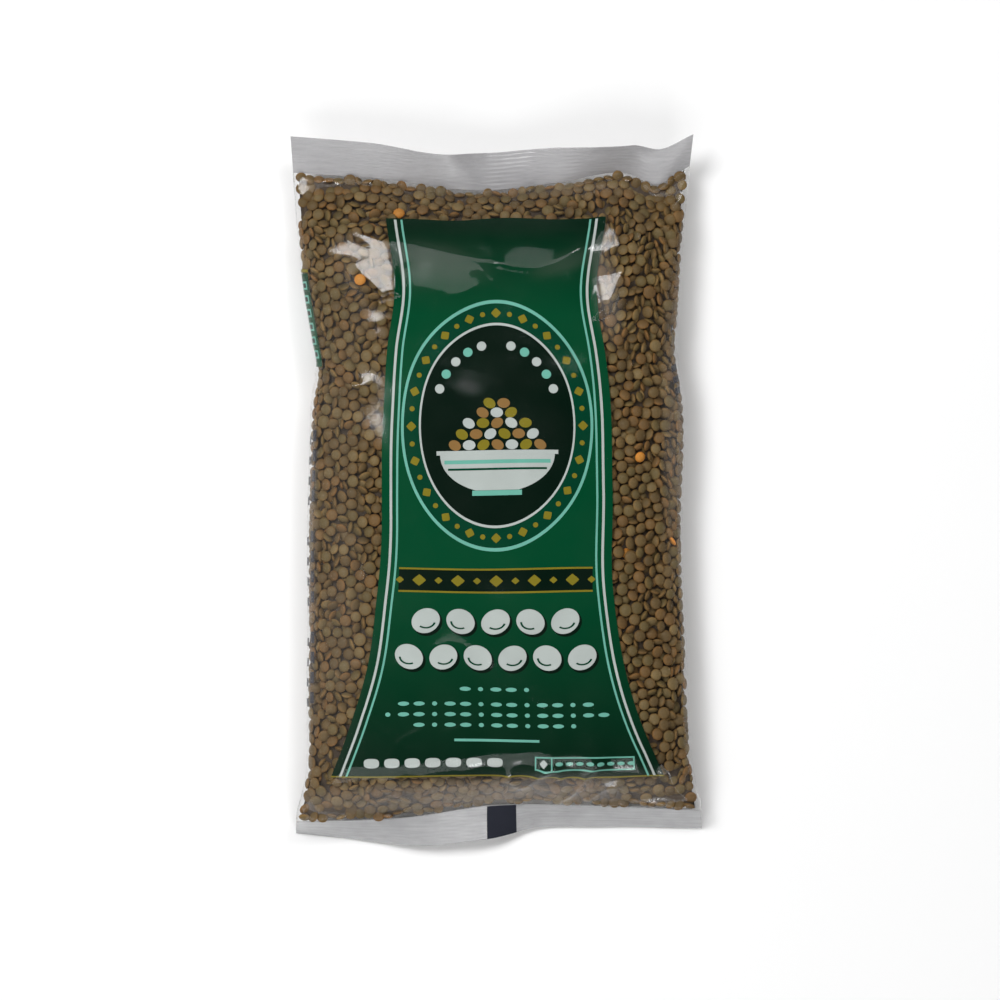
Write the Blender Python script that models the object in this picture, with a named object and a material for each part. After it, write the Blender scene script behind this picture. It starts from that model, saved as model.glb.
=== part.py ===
"""A sealed clear pillow bag filled with dry brown lentils, lying on its back.

The bag is one tube of film, crimped shut at both ends, with a fin seam down its back. Metres, +Z up:
the printed front faces up, +Y points to the top seal, and the origin is under the middle of the box.
"""

import math

import bmesh
import bpy
import numpy as np

# Outline seen from the front: (up the bag, sideways) where each long edge turns.
LEFT_EDGE = (
    (-0.153, -0.0865),
    (-0.138, -0.0850),
    (-0.124, -0.0818),
    (-0.085, -0.0808),
    (0.008, -0.0800),
    (0.038, -0.0786),
    (0.050, -0.0765),
    (0.066, -0.0790),
    (0.088, -0.0826),
    (0.118, -0.0855),
    (0.154, -0.0880),
)
RIGHT_EDGE = (
    (-0.153, 0.0905),
    (-0.138, 0.0885),
    (-0.120, 0.0852),
    (-0.079, 0.0828),
    (-0.020, 0.0805),
    (0.045, 0.0802),
    (0.057, 0.0780),
    (0.077, 0.0791),
    (0.118, 0.0818),
    (0.154, 0.0852),
)

# Where each seal starts: (across the bag from -1 to 1, up the bag). The full middle draws the seals in.
TOP_ROOT = (
    (-1.0, 0.1365),
    (-0.62, 0.1345),
    (-0.02, 0.1290),
    (0.35, 0.1325),
    (0.70, 0.1360),
    (0.84, 0.1316),
    (1.0, 0.1395),
)
BOTTOM_ROOT = (
    (-1.0, -0.1428),
    (-0.45, -0.1408),
    (-0.02, -0.1355),
    (0.40, -0.1357),
    (1.0, -0.1378),
)

# How far each seal leans out of the flat, in degrees: the top one curls up and the bottom one hangs down.
TOP_LEAN = (
    (-1.0, 16.0),
    (-0.6, 25.0),
    (-0.22, 30.0),
    (0.0, 4.0),
    (0.3, 22.0),
    (0.66, 48.0),
    (0.84, 24.0),
    (1.0, 36.0),
)
BOTTOM_LEAN = (
    (-1.0, -70.0),
    (-0.6, -50.0),
    (-0.3, -28.0),
    (-0.04, -24.0),
    (0.15, -46.0),
    (0.5, -54.0),
    (1.0, -58.0),
)

SEAL_HEIGHT = 0.0160
SEAL_THICKNESS = 0.0010
SEAL_CLEARANCE = 0.0003
SEAL_RIBS = 5
RIB_RELIEF = 0.00045

# The filled part: how far its front and back stand from the height of the long edges.
FRONT_DEPTH = 0.0202
BACK_DEPTH = 0.0167
EDGE_HEIGHT = 0.0158
SEAL_ROOT_HEIGHT = 0.0142
TOP_SHOULDER = 0.036
BOTTOM_SHOULDER = 0.025
SHOULDER_POWER = 1.8
FRONT_CROWN = (2.5, 2.0)
BACK_CROWN = (3.4, 2.2)
END_CROWN = 1.9

# Long waves that the loose filling leaves in the film: (waves across, waves along, start, height).
SWELLS = (
    (0.55, 1.5, 2.4, 0.0011),
    (1.1, 2.4, 0.6, 0.0007),
    (1.7, 3.8, 4.1, 0.0004),
    (2.6, 5.2, 1.3, 0.0003),
)

# Puckers that run from the seals into the filled part.
PUCKER_HEIGHT = 0.0012
PUCKER_REACH = 0.014
PUCKERS_ACROSS = 4.5

# The fin seam, folded flat down the middle of the back.
SEAM_WIDTH = 0.0125
SEAM_STEP = 0.0007
SEAM_SLOPE = 0.0012

# The lentils lift the film in bumps of their own size.
LENTIL_DIAMETER = 0.0052
BUMP_HEIGHT = 0.00095
EDGE_BUMP_SHARE = 0.35
BUMP_SHIFT = 0.10
SEED = 11

FRONT_COLUMNS = 42
HALF_BACK_COLUMNS = 9
BODY_ROWS = 66
SEAL_ROWS = 2 * SEAL_RIBS
ROWS = SEAL_ROWS + BODY_ROWS + SEAL_ROWS

FILM_COLOUR = (0.255, 0.170, 0.085, 1.0)
FILM_ROUGHNESS = 0.28


def curve_through(points):
    """A smooth function through (place, value) points."""
    place, value = np.array(points).T
    slope = np.gradient(value, place)

    def at(where):
        where = np.clip(where, place[0], place[-1])
        i = np.clip(np.searchsorted(place, where) - 1, 0, len(place) - 2)
        span = place[i + 1] - place[i]
        t = (where - place[i]) / span
        start = value[i] * (1 + 2 * t) * (1 - t) ** 2 + slope[i] * span * t * (1 - t) ** 2
        end = value[i + 1] * (3 - 2 * t) * t**2 - slope[i + 1] * span * (1 - t) * t**2
        return start + end

    return at


left_edge = curve_through(LEFT_EDGE)
right_edge = curve_through(RIGHT_EDGE)
top_root = curve_through(TOP_ROOT)
bottom_root = curve_through(BOTTOM_ROOT)
top_lean = curve_through(TOP_LEAN)
bottom_lean = curve_through(BOTTOM_LEAN)


def sideways(across, up):
    """The place between the long edges at this height."""
    return left_edge(up) + (right_edge(up) - left_edge(up)) * (across + 1) / 2


def fullness(from_bottom, from_top):
    """How full the bag is, from 0 at a seal to 1 past its shoulder."""
    rise = 1 - (1 - np.clip(from_bottom / BOTTOM_SHOULDER, 0, 1)) ** SHOULDER_POWER
    fall = 1 - (1 - np.clip(from_top / TOP_SHOULDER, 0, 1)) ** SHOULDER_POWER
    return rise * fall


def crown(across, full, shape):
    """The section's height, 1 in the middle and 0 at the long edges. Near a seal it is a plain lens."""
    power = END_CROWN + (shape[0] - END_CROWN) * full
    root = 1 + (shape[1] - 1) * full
    return (1 - np.abs(across) ** power) ** (1 / root)


def swells(across, along):
    """The long waves of the film, by the filling behind it."""
    total = 0.0
    for waves_across, waves_along, start, height in SWELLS:
        total = total + height * np.sin(math.pi * (waves_across * across + 2 * waves_along * along) + start)
    return total


def body_point(side, across, along):
    """The film round the lentils: side is 1 in front and -1 behind, and along runs from seal to seal."""
    low = bottom_root(across)
    high = top_root(across)
    up = low + (high - low) * along
    x = sideways(across, up)
    from_bottom = up - low
    from_top = high - up
    full = fullness(from_bottom, from_top)
    inner = 1 - across**4
    middle = SEAL_ROOT_HEIGHT + (EDGE_HEIGHT - SEAL_ROOT_HEIGHT) * full
    front = (FRONT_DEPTH + swells(across, along) * inner) * crown(across, full, FRONT_CROWN)
    back = BACK_DEPTH * crown(across, full, BACK_CROWN)
    reach = np.exp(-np.minimum(from_bottom, from_top) / PUCKER_REACH) * full**0.5 * inner
    pucker = PUCKER_HEIGHT * np.sin(2 * math.pi * PUCKERS_ACROSS * across + 3 * along) * reach
    seam = SEAM_STEP * np.clip((SEAM_WIDTH / 2 + SEAM_SLOPE - np.abs(x)) / SEAM_SLOPE, 0, 1)
    swell = np.where(side > 0, front, back + seam)
    height = middle + side * (swell * full + SEAL_THICKNESS / 2) + pucker
    return np.stack([x, up, height], axis=-1)


def seal_point(side, across, outward, at_top):
    """Points of a crimped seal, outward from 0 at its root to 1 at its free edge."""
    root = body_point(side, across, np.where(at_top, 1.0, 0.0))
    lean = np.radians(np.where(at_top, top_lean(across), bottom_lean(across)))
    reach = SEAL_HEIGHT * outward
    rib = RIB_RELIEF * np.cos(2 * math.pi * SEAL_RIBS * outward) * np.minimum(outward * SEAL_ROWS, 1)
    proud = rib + side * SEAL_THICKNESS / 2
    away = np.where(at_top, 1, -1)
    up = root[..., 1] + away * (reach * np.cos(lean) - proud * np.sin(lean))
    height = SEAL_ROOT_HEIGHT + reach * np.sin(lean) + proud * np.cos(lean)
    lowest = SEAL_CLEARANCE + (side + 1) / 2 * SEAL_THICKNESS
    return np.stack([sideways(across, up), up, np.maximum(height, lowest)], axis=-1)


def film_point(side, across, row):
    """Points of the film, by the row of the sheet from the bottom seal's free edge to the top seal's."""
    side, across, row = np.broadcast_arrays(side, across, row)
    body_rows = row - SEAL_ROWS
    past = np.maximum(-body_rows, body_rows - BODY_ROWS) / SEAL_ROWS
    body = body_point(side, across, np.clip(body_rows / BODY_ROWS, 0, 1))
    seal = seal_point(side, across, np.clip(past, 0, 1), body_rows > 0)
    return np.where((past > 0)[..., None], seal, body)


def outward_at(side, across, row):
    """The film's outward direction, from two short steps along it."""
    step_across = np.where(across < 0.5, 0.01, -0.01)
    step_up = np.where(row < ROWS / 2, 0.5, -0.5)
    here = film_point(side, across, row)
    first = (film_point(side, across + step_across, row) - here) * np.sign(step_across)[..., None]
    second = (film_point(side, across, row + step_up) - here) * np.sign(step_up)[..., None]
    normal = np.cross(first, second) * np.broadcast_to(side, across.shape)[..., None]
    return normal / np.linalg.norm(normal, axis=-1, keepdims=True)


def even_places(side, start, end, count):
    """Places from start to end across one side, evenly spaced along the film at the bag's middle."""
    dense = np.sin(np.linspace(math.asin(start), math.asin(end), 400))
    section = body_point(side, dense, 0.5)
    length = np.concatenate([[0], np.cumsum(np.linalg.norm(np.diff(section, axis=0), axis=1))])
    return np.interp(np.linspace(0, length[-1], count + 1), length, dense)


def sheet_columns():
    """(side, across) of the film's columns, from one side of the seam round the front to the other."""
    half_width = float(sideways(1.0, 0.0) - sideways(-1.0, 0.0)) / 2
    seam = SEAM_WIDTH / 2 / half_width
    foot = (SEAM_WIDTH / 2 + SEAM_SLOPE) / half_width
    left = [-seam, *even_places(-1, -foot, -1.0, HALF_BACK_COLUMNS)[:-1]]
    front = even_places(1, -1.0, 1.0, FRONT_COLUMNS)[:-1]
    right = [*even_places(-1, 1.0, foot, HALF_BACK_COLUMNS), seam, 0.0, -seam]
    side = np.concatenate([-np.ones(len(left)), np.ones(len(front)), -np.ones(len(right))])
    return side, np.concatenate([left, front, right])


def lentil_bumps(side, across, row):
    """Lifts the film by the lentils behind it, most in the open and little round the tight long edges."""
    draws = np.random.default_rng(SEED).uniform(-1, 1, (*across.shape, 3))
    draws[-1] = draws[0]
    filled = (row > SEAL_ROWS) & (row < SEAL_ROWS + BODY_ROWS)
    tight = EDGE_BUMP_SHARE + (1 - EDGE_BUMP_SHARE) * (1 - np.abs(across) ** 8)
    lift = BUMP_HEIGHT * np.abs(draws[..., 0]) * tight * filled
    shift = BUMP_SHIFT * LENTIL_DIAMETER * draws[..., 1:] * filled[..., None]
    moved = outward_at(side, across, row) * lift[..., None]
    moved[..., :2] += shift * tight[..., None]
    return moved


def formed_film():
    """The film as a flat grid, wrapped round the lentils and joined to itself at the back."""
    side, across = sheet_columns()
    grid = np.broadcast_arrays(side[:, None], across[:, None], np.arange(ROWS + 1.0)[None])
    places = film_point(*grid) + lentil_bumps(*grid)
    places[..., 2] = np.maximum(places[..., 2], 0.0)
    last = len(across) - 1
    film = bmesh.new()
    bmesh.ops.create_grid(film, x_segments=last, y_segments=ROWS, size=0.5)
    for vertex in film.verts:
        column = round((vertex.co.x + 0.5) * last)
        row = round((vertex.co.y + 0.5) * ROWS)
        vertex.co = places[column, row]
    bmesh.ops.remove_doubles(film, verts=film.verts, dist=1e-6)
    return film


def close_ends(film):
    """The cut edge of each seal, between its front and its back layer."""
    bmesh.ops.holes_fill(film, edges=[edge for edge in film.edges if edge.is_boundary])
    bmesh.ops.triangulate(film, faces=[face for face in film.faces if len(face.verts) > 4])
    bmesh.ops.recalc_face_normals(film, faces=film.faces)


def stand_on_origin(film):
    """Puts the middle of the bag's box over the origin, with its back on the table."""
    places = np.array([vertex.co for vertex in film.verts])
    low, high = places.min(axis=0), places.max(axis=0)
    shift = (-(low[0] + high[0]) / 2, -(low[1] + high[1]) / 2, -low[2])
    bmesh.ops.translate(film, verts=film.verts, vec=shift)


def film_material():
    """Clear film over brown lentils, seen as one surface."""
    material = bpy.data.materials.new("film_over_lentils")
    material.use_nodes = True
    shader = material.node_tree.nodes["Principled BSDF"]
    shader.inputs["Base Color"].default_value = FILM_COLOUR
    shader.inputs["Roughness"].default_value = FILM_ROUGHNESS
    shader.inputs["Metallic"].default_value = 0.0
    return material


def main():
    for old in list(bpy.data.objects):
        bpy.data.objects.remove(old)
    film = formed_film()
    close_ends(film)
    stand_on_origin(film)
    mesh = bpy.data.meshes.new("lentil_bag")
    film.to_mesh(mesh)
    film.free()
    mesh.materials.append(film_material())
    bag = bpy.data.objects.new("lentil_bag", mesh)
    pack = bpy.data.collections.new("bag_of_brown_lentils")
    bpy.context.scene.collection.children.link(pack)
    pack.objects.link(bag)


main()
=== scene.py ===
"""The looks of a sealed clear bag of dry brown lentils: film, print and every lentil that shows.

All sizes are in metres. The film's form repeats the solid's own named values, so that the visible
bag fills the solid that it stands for.
"""

import math
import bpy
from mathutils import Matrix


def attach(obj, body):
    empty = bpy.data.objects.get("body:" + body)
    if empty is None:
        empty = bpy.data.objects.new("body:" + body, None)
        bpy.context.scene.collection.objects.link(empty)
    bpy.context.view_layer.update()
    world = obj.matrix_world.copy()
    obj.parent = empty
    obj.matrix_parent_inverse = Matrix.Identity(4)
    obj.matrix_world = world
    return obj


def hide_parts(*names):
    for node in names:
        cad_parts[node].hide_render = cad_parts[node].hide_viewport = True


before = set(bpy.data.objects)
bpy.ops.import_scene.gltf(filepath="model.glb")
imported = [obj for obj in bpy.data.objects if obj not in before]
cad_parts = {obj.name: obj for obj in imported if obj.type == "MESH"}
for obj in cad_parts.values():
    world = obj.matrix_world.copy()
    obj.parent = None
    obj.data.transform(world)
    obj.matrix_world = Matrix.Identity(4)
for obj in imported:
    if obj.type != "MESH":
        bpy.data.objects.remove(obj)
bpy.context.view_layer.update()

from types import SimpleNamespace

import bpy
import numpy as np
from mathutils import Matrix, Vector

SEED = 11
NODE = "lentil_bag"

# Soft rectangular lights that face the bag: middle, sides and watts.
LIGHTS = {
    "key": SimpleNamespace(place=(-0.76, 0.56, 1.50), size=(0.62, 0.62), power=19.2),
    "strip": SimpleNamespace(place=(0.0, 0.75, 1.45), size=(0.9, 1.0), power=5.0),
    "right_box": SimpleNamespace(place=(0.52, 0.90, 1.40), size=(0.31, 0.35), power=5.2),
    "glint_box": SimpleNamespace(place=(0.35, -1.10, 0.75), size=(0.22, 0.16), power=1.1),
    "near_box": SimpleNamespace(place=(-0.25, -1.35, 1.45), size=(2.4, 1.3), power=20.0),
}

# Outline seen from the front: (up the bag, sideways) where each long edge turns.
LEFT_EDGE = (
    (-0.153, -0.0865),
    (-0.138, -0.0850),
    (-0.124, -0.0818),
    (-0.085, -0.0808),
    (0.008, -0.0800),
    (0.038, -0.0786),
    (0.050, -0.0765),
    (0.066, -0.0790),
    (0.088, -0.0826),
    (0.118, -0.0855),
    (0.154, -0.0880),
)
RIGHT_EDGE = (
    (-0.153, 0.0905),
    (-0.138, 0.0885),
    (-0.120, 0.0852),
    (-0.079, 0.0828),
    (-0.020, 0.0805),
    (0.045, 0.0802),
    (0.057, 0.0780),
    (0.077, 0.0791),
    (0.118, 0.0818),
    (0.154, 0.0852),
)

# Where each seal starts: (across the bag from -1 to 1, up the bag).
TOP_ROOT = (
    (-1.0, 0.1365),
    (-0.62, 0.1345),
    (-0.02, 0.1290),
    (0.35, 0.1325),
    (0.70, 0.1360),
    (0.84, 0.1316),
    (1.0, 0.1395),
)
BOTTOM_ROOT = (
    (-1.0, -0.1428),
    (-0.45, -0.1408),
    (-0.02, -0.1355),
    (0.40, -0.1357),
    (1.0, -0.1378),
)

# How far each seal leans out of the flat, in degrees.
TOP_LEAN = (
    (-1.0, 16.0),
    (-0.6, 25.0),
    (-0.22, 30.0),
    (0.0, 4.0),
    (0.3, 22.0),
    (0.66, 48.0),
    (0.84, 24.0),
    (1.0, 36.0),
)
BOTTOM_LEAN = (
    (-1.0, -70.0),
    (-0.6, -50.0),
    (-0.3, -28.0),
    (-0.04, -24.0),
    (0.15, -46.0),
    (0.5, -54.0),
    (1.0, -58.0),
)

# The filled part: how far its front and back stand from the height of the long edges.
FRONT_DEPTH = 0.0202
BACK_DEPTH = 0.0167
EDGE_HEIGHT = 0.0158
SEAL_ROOT_HEIGHT = 0.0142
TOP_SHOULDER = 0.036
BOTTOM_SHOULDER = 0.025
SHOULDER_POWER = 1.8
FRONT_CROWN = (2.5, 2.0)
BACK_CROWN = (3.4, 2.2)
END_CROWN = 1.9

# Long waves of the film: (waves across, waves along, start, height).
SWELLS = (
    (0.55, 1.5, 2.4, 0.0011),
    (1.1, 2.4, 0.6, 0.0007),
    (1.7, 3.8, 4.1, 0.0004),
    (2.6, 5.2, 1.3, 0.0003),
)
PUCKER_HEIGHT = 0.0012
PUCKER_REACH = 0.014
PUCKERS_ACROSS = 4.5

# The crimped seals, with the real film's thin layers and its many fine ribs.
SEAL_HEIGHT = 0.0160
SEAL_GAP = 0.0003
SEAL_RIBS = 9
RIB_RELIEF = 0.00007
ROWS_A_RIB = 4
SEAL_COLUMNS = 120

# The unrolled sheet of film, as a grid of small cells.
SIDE_CELLS = 430
ALONG_CELLS = 700
WRAP_CELLS = 40

# Lentils: oblate seeds of uneven size.
LENTIL_RADIUS = 0.0026
LENTIL_HALF_THICKNESS = 0.00122
RADIUS_SPREAD, RADIUS_SHARES = 0.065, (0.82, 1.14)
THICKNESS_SPREAD, THICKNESS_SHARES = 0.07, (0.85, 1.2)
OUT_OF_ROUND = 0.05

# One lentil's mesh: corners in a ring, its rings on the outer side and on the inner, and its fullness.
LENS_SEGMENTS = 11
LENS_RINGS = (0.58, 0.88)
LENS_INNER_RING = 0.78
LENS_POWER = 0.72

# How lentils lie, in degrees and shares: most are flat, some are tipped, and crowded ones stand on edge.
FLAT_SHARE, FLAT_SPREAD = 0.64, 15
TIPPED = (25, 76)
STANDING = (38, 82)
CROWDED_AT_EDGE, CROWDED_AT_END = 0.80, 0.74
TURNED_AT_END = 0.80
EDGE_TURN_SPREAD, END_TURN_SPREAD = 0.40, 0.50

# Where crowding starts and over how much it grows: shares of the half width and of the length.
EDGE_START = (0.78, 0.20)
TOP_START = (0.70, 0.24)
FOOT_START = (0.16, 0.12)
SLID_START, SLID_SHARE = (0.66, 0.14), 0.42

# The outer layer: how much of the film it covers, its even first places and the steps that settle it.
LAYER_DENSITY = 0.83
EVEN_STEPS = (0.7548776662, 0.5698402910)
SETTLE_STEPS = 240
PUSH_SHARE = 0.45
FILM_CLEARANCE = 0.00035
RIM_SHARE = 0.10
TUCK_DEPTH = 0.0026
DEEPEST_REST = -0.0052
DEEPEST_TOP = -0.0045

# The filling of gaps behind it.
HOLE_DEPTH = -0.0019
FILL_TRIES = 12000
FILL_DRAWS = 90
FILL_CHOICES = 7
FILL_REACH_CELLS = 3.0
FILL_TILT_SPREAD = 0.2
GAP_WORTH_FILLING = 0.5e-9

# The wedges along the seals, where lentils touch front and back.
WEDGE_SHARE = 0.6
WEDGE_ROW = 0.0024
WEDGE_SPACING = 0.0032
ROW_TILTS, GAP_TILTS = (20, 66), (20, 60)
ROW_TURN_SPREAD, GAP_TURN_SPREAD = 0.45, 0.5
ROW_INSETS, CORNER_INSET, GAP_INSET = (0.4, 1.1), 1.05, 0.9
ROW_CLOSENESS, ROW_STAND_OFF = 0.82, 0.8
ROW_STRAY, ROW_GAPS = 0.0003, (-0.0004, 0.0003)
CORNER_TILT_SPREAD, CORNER_TURN_SPREAD = 0.2, 0.3
CORNER_ROW = (0.0050, 0.0090, 0.0135)
END_CELLS = 34
SEAL_CLEAR_CELLS = 7

# The dark sheet behind the lentils that show, painted shade in place of the shaded lentils deeper in.
CORE_DEPTH = 0.0040
CORE_DEPTH_SHARE = 0.42
CORE_STEP = 10


def curve_through(points):
    """A smooth function through (place, value) points."""
    place, value = np.array(points).T
    slope = np.gradient(value, place)

    def at(where):
        where = np.clip(where, place[0], place[-1])
        i = np.clip(np.searchsorted(place, where) - 1, 0, len(place) - 2)
        span = place[i + 1] - place[i]
        t = (where - place[i]) / span
        start = value[i] * (1 + 2 * t) * (1 - t) ** 2 + slope[i] * span * t * (1 - t) ** 2
        end = value[i + 1] * (3 - 2 * t) * t**2 - slope[i + 1] * span * (1 - t) * t**2
        return start + end

    return at


left_edge = curve_through(LEFT_EDGE)
right_edge = curve_through(RIGHT_EDGE)
top_root = curve_through(TOP_ROOT)
bottom_root = curve_through(BOTTOM_ROOT)
top_lean = curve_through(TOP_LEAN)
bottom_lean = curve_through(BOTTOM_LEAN)


def sideways(across, up):
    """The place between the long edges at this height."""
    return left_edge(up) + (right_edge(up) - left_edge(up)) * (across + 1) / 2


def fullness(from_bottom, from_top):
    """How full the bag is, from 0 at a seal to 1 past its shoulder."""
    rise = 1 - (1 - np.clip(from_bottom / BOTTOM_SHOULDER, 0, 1)) ** SHOULDER_POWER
    fall = 1 - (1 - np.clip(from_top / TOP_SHOULDER, 0, 1)) ** SHOULDER_POWER
    return rise * fall


def crown(across, full, shape):
    """The section's height, 1 in the middle and 0 at the long edges."""
    power = END_CROWN + (shape[0] - END_CROWN) * full
    root = 1 + (shape[1] - 1) * full
    return np.clip(1 - np.abs(across) ** power, 0, 1) ** (1 / root)


def swells(across, along):
    """The long waves of the film."""
    total = 0.0
    for waves_across, waves_along, start, height in SWELLS:
        total = total + height * np.sin(math.pi * (waves_across * across + 2 * waves_along * along) + start)
    return total


def body_point(side, across, along):
    """The film round the lentils: side is 1 in front and -1 behind, and along runs from seal to seal."""
    low = bottom_root(across)
    high = top_root(across)
    up = low + (high - low) * along
    x = sideways(across, up)
    from_bottom = up - low
    from_top = high - up
    full = fullness(from_bottom, from_top)
    inner = 1 - across**4
    middle = SEAL_ROOT_HEIGHT + (EDGE_HEIGHT - SEAL_ROOT_HEIGHT) * full
    front = (FRONT_DEPTH + swells(across, along) * inner) * crown(across, full, FRONT_CROWN)
    back = BACK_DEPTH * crown(across, full, BACK_CROWN)
    reach = np.exp(-np.minimum(from_bottom, from_top) / PUCKER_REACH) * full**0.5 * inner
    pucker = PUCKER_HEIGHT * np.sin(2 * math.pi * PUCKERS_ACROSS * across + 3 * along) * reach
    swell = np.where(side > 0, front, back)
    height = middle + side * (swell * full + SEAL_GAP / 2) + pucker
    return np.stack([x, up, np.maximum(height, 0.0)], axis=-1)


def even_columns(side, along):
    """The place across the bag of each column of cells, evenly spaced along the film in every row."""
    dense = np.sin(np.linspace(-math.pi / 2, math.pi / 2, 301))
    section = body_point(side, dense[:, None], along[None])
    length = np.cumsum(np.linalg.norm(np.diff(section, axis=0), axis=-1), axis=0)
    length = np.vstack([np.zeros(len(along)), length])
    share = np.linspace(0, 1, SIDE_CELLS + 1)
    rows = [np.interp(share * length[-1, j], length[:, j], dense) for j in range(len(along))]
    return np.array(rows).T


def smoothed(field, cells):
    """The field averaged over a few cells each way; it wraps round the bag and ends at the seals."""
    kernel = np.exp(-0.5 * (np.arange(-3 * cells, 3 * cells + 1) / cells) ** 2)
    kernel /= kernel.sum()
    reach = 3 * cells
    wide = np.concatenate([field[-reach:], field, field[:reach]], axis=0)
    out = sum(weight * wide[k : k + len(field)] for k, weight in enumerate(kernel))
    tall = np.pad(out, ((0, 0), (reach, reach)), mode="edge")
    return sum(weight * tall[:, k : k + field.shape[1]] for k, weight in enumerate(kernel))


def unit(vectors):
    return vectors / np.maximum(np.linalg.norm(vectors, axis=-1, keepdims=True), 1e-12)


def unrolled_sheet():
    """The film round the lentils as a flat sheet that wraps round the bag.

    The first index runs round the bag from the left edge over the front, and the second up the bag.
    """
    probe = np.linspace(0, 1, 2001)
    middle = body_point(1, np.zeros_like(probe), probe)
    length = np.concatenate([[0], np.cumsum(np.linalg.norm(np.diff(middle, axis=0), axis=1))])
    along = np.interp(np.linspace(0, length[-1], ALONG_CELLS + 1), length, probe)
    front = even_columns(1, along)
    back = even_columns(-1, along)[::-1]
    across = np.concatenate([front[:-1], back[:-1]])
    side = np.repeat([1.0, -1.0], SIDE_CELLS)[:, None]
    place = body_point(side, across, along[None])
    step_u = (np.roll(place, -1, axis=0) - np.roll(place, 1, axis=0)) / 2
    step_v = np.gradient(place, axis=1)
    size_u = smoothed(np.linalg.norm(step_u, axis=-1), 2)
    size_v = smoothed(np.linalg.norm(step_v, axis=-1), 2)
    normal = unit(np.cross(step_u, step_v))
    normal = unit(np.stack([smoothed(normal[..., k], 2) for k in range(3)], axis=-1))
    tangent = unit(step_u - normal * (step_u * normal).sum(axis=-1, keepdims=True))
    upward = np.cross(normal, tangent)
    bend_u = ((np.roll(normal, -2, axis=0) - np.roll(normal, 2, axis=0)) * tangent).sum(-1) / (4 * size_u)
    bend_v = (np.gradient(normal, axis=1) * upward).sum(-1) / size_v
    mirror = place[(-np.arange(2 * SIDE_CELLS)) % (2 * SIDE_CELLS)]
    depth = np.linalg.norm(place - mirror, axis=-1)
    steep = np.abs(normal[..., 2]) < 0.5
    return SimpleNamespace(
        along=along,
        across=across,
        place=place,
        normal=normal,
        tangent=tangent,
        upward=upward,
        size_u=size_u,
        size_v=size_v,
        bend_u=np.clip(smoothed(bend_u, 2), -100, 250),
        bend_v=np.clip(smoothed(bend_v, 2), -100, 250),
        depth=np.where(steep, np.maximum(depth, 2 * LENTIL_RADIUS), depth),
        columns=2 * SIDE_CELLS,
        rows=ALONG_CELLS,
    )


def sampled(field, u, v):
    """The field at fractional places of the sheet."""
    u = np.asarray(u) % field.shape[0]
    v = np.clip(v, 0, field.shape[1] - 1)
    i = np.floor(u).astype(int)
    j = np.minimum(np.floor(v).astype(int), field.shape[1] - 2)
    s, t = u - i, v - j
    if field.ndim == 3:
        s, t = s[..., None], t[..., None]
    right = (i + 1) % field.shape[0]
    low = field[i, j] * (1 - s) + field[right, j] * s
    high = field[i, j + 1] * (1 - s) + field[right, j + 1] * s
    return low * (1 - t) + high * t


def lens_heights(tilt, turn, radius, half, x, y):
    """Top and bottom of a tilted lentil over the places x, y, and where it and its inner part lie."""
    nx, ny, nz = math.sin(tilt) * math.cos(turn), math.sin(tilt) * math.sin(turn), math.cos(tilt)
    wide, thin = 1 / radius**2, 1 / half**2 - 1 / radius**2
    lean = thin * nz * (nx * x + ny * y)
    stiff = wide + thin * nz * nz
    rest = wide * (x * x + y * y) + thin * (nx * x + ny * y) ** 2 - 1
    inside = lean * lean - stiff * rest
    covered = inside > 0
    root = np.sqrt(np.where(covered, inside, 0))
    return (-lean + root) / stiff, (-lean - root) / stiff, covered, inside > RIM_SHARE * stiff


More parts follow.
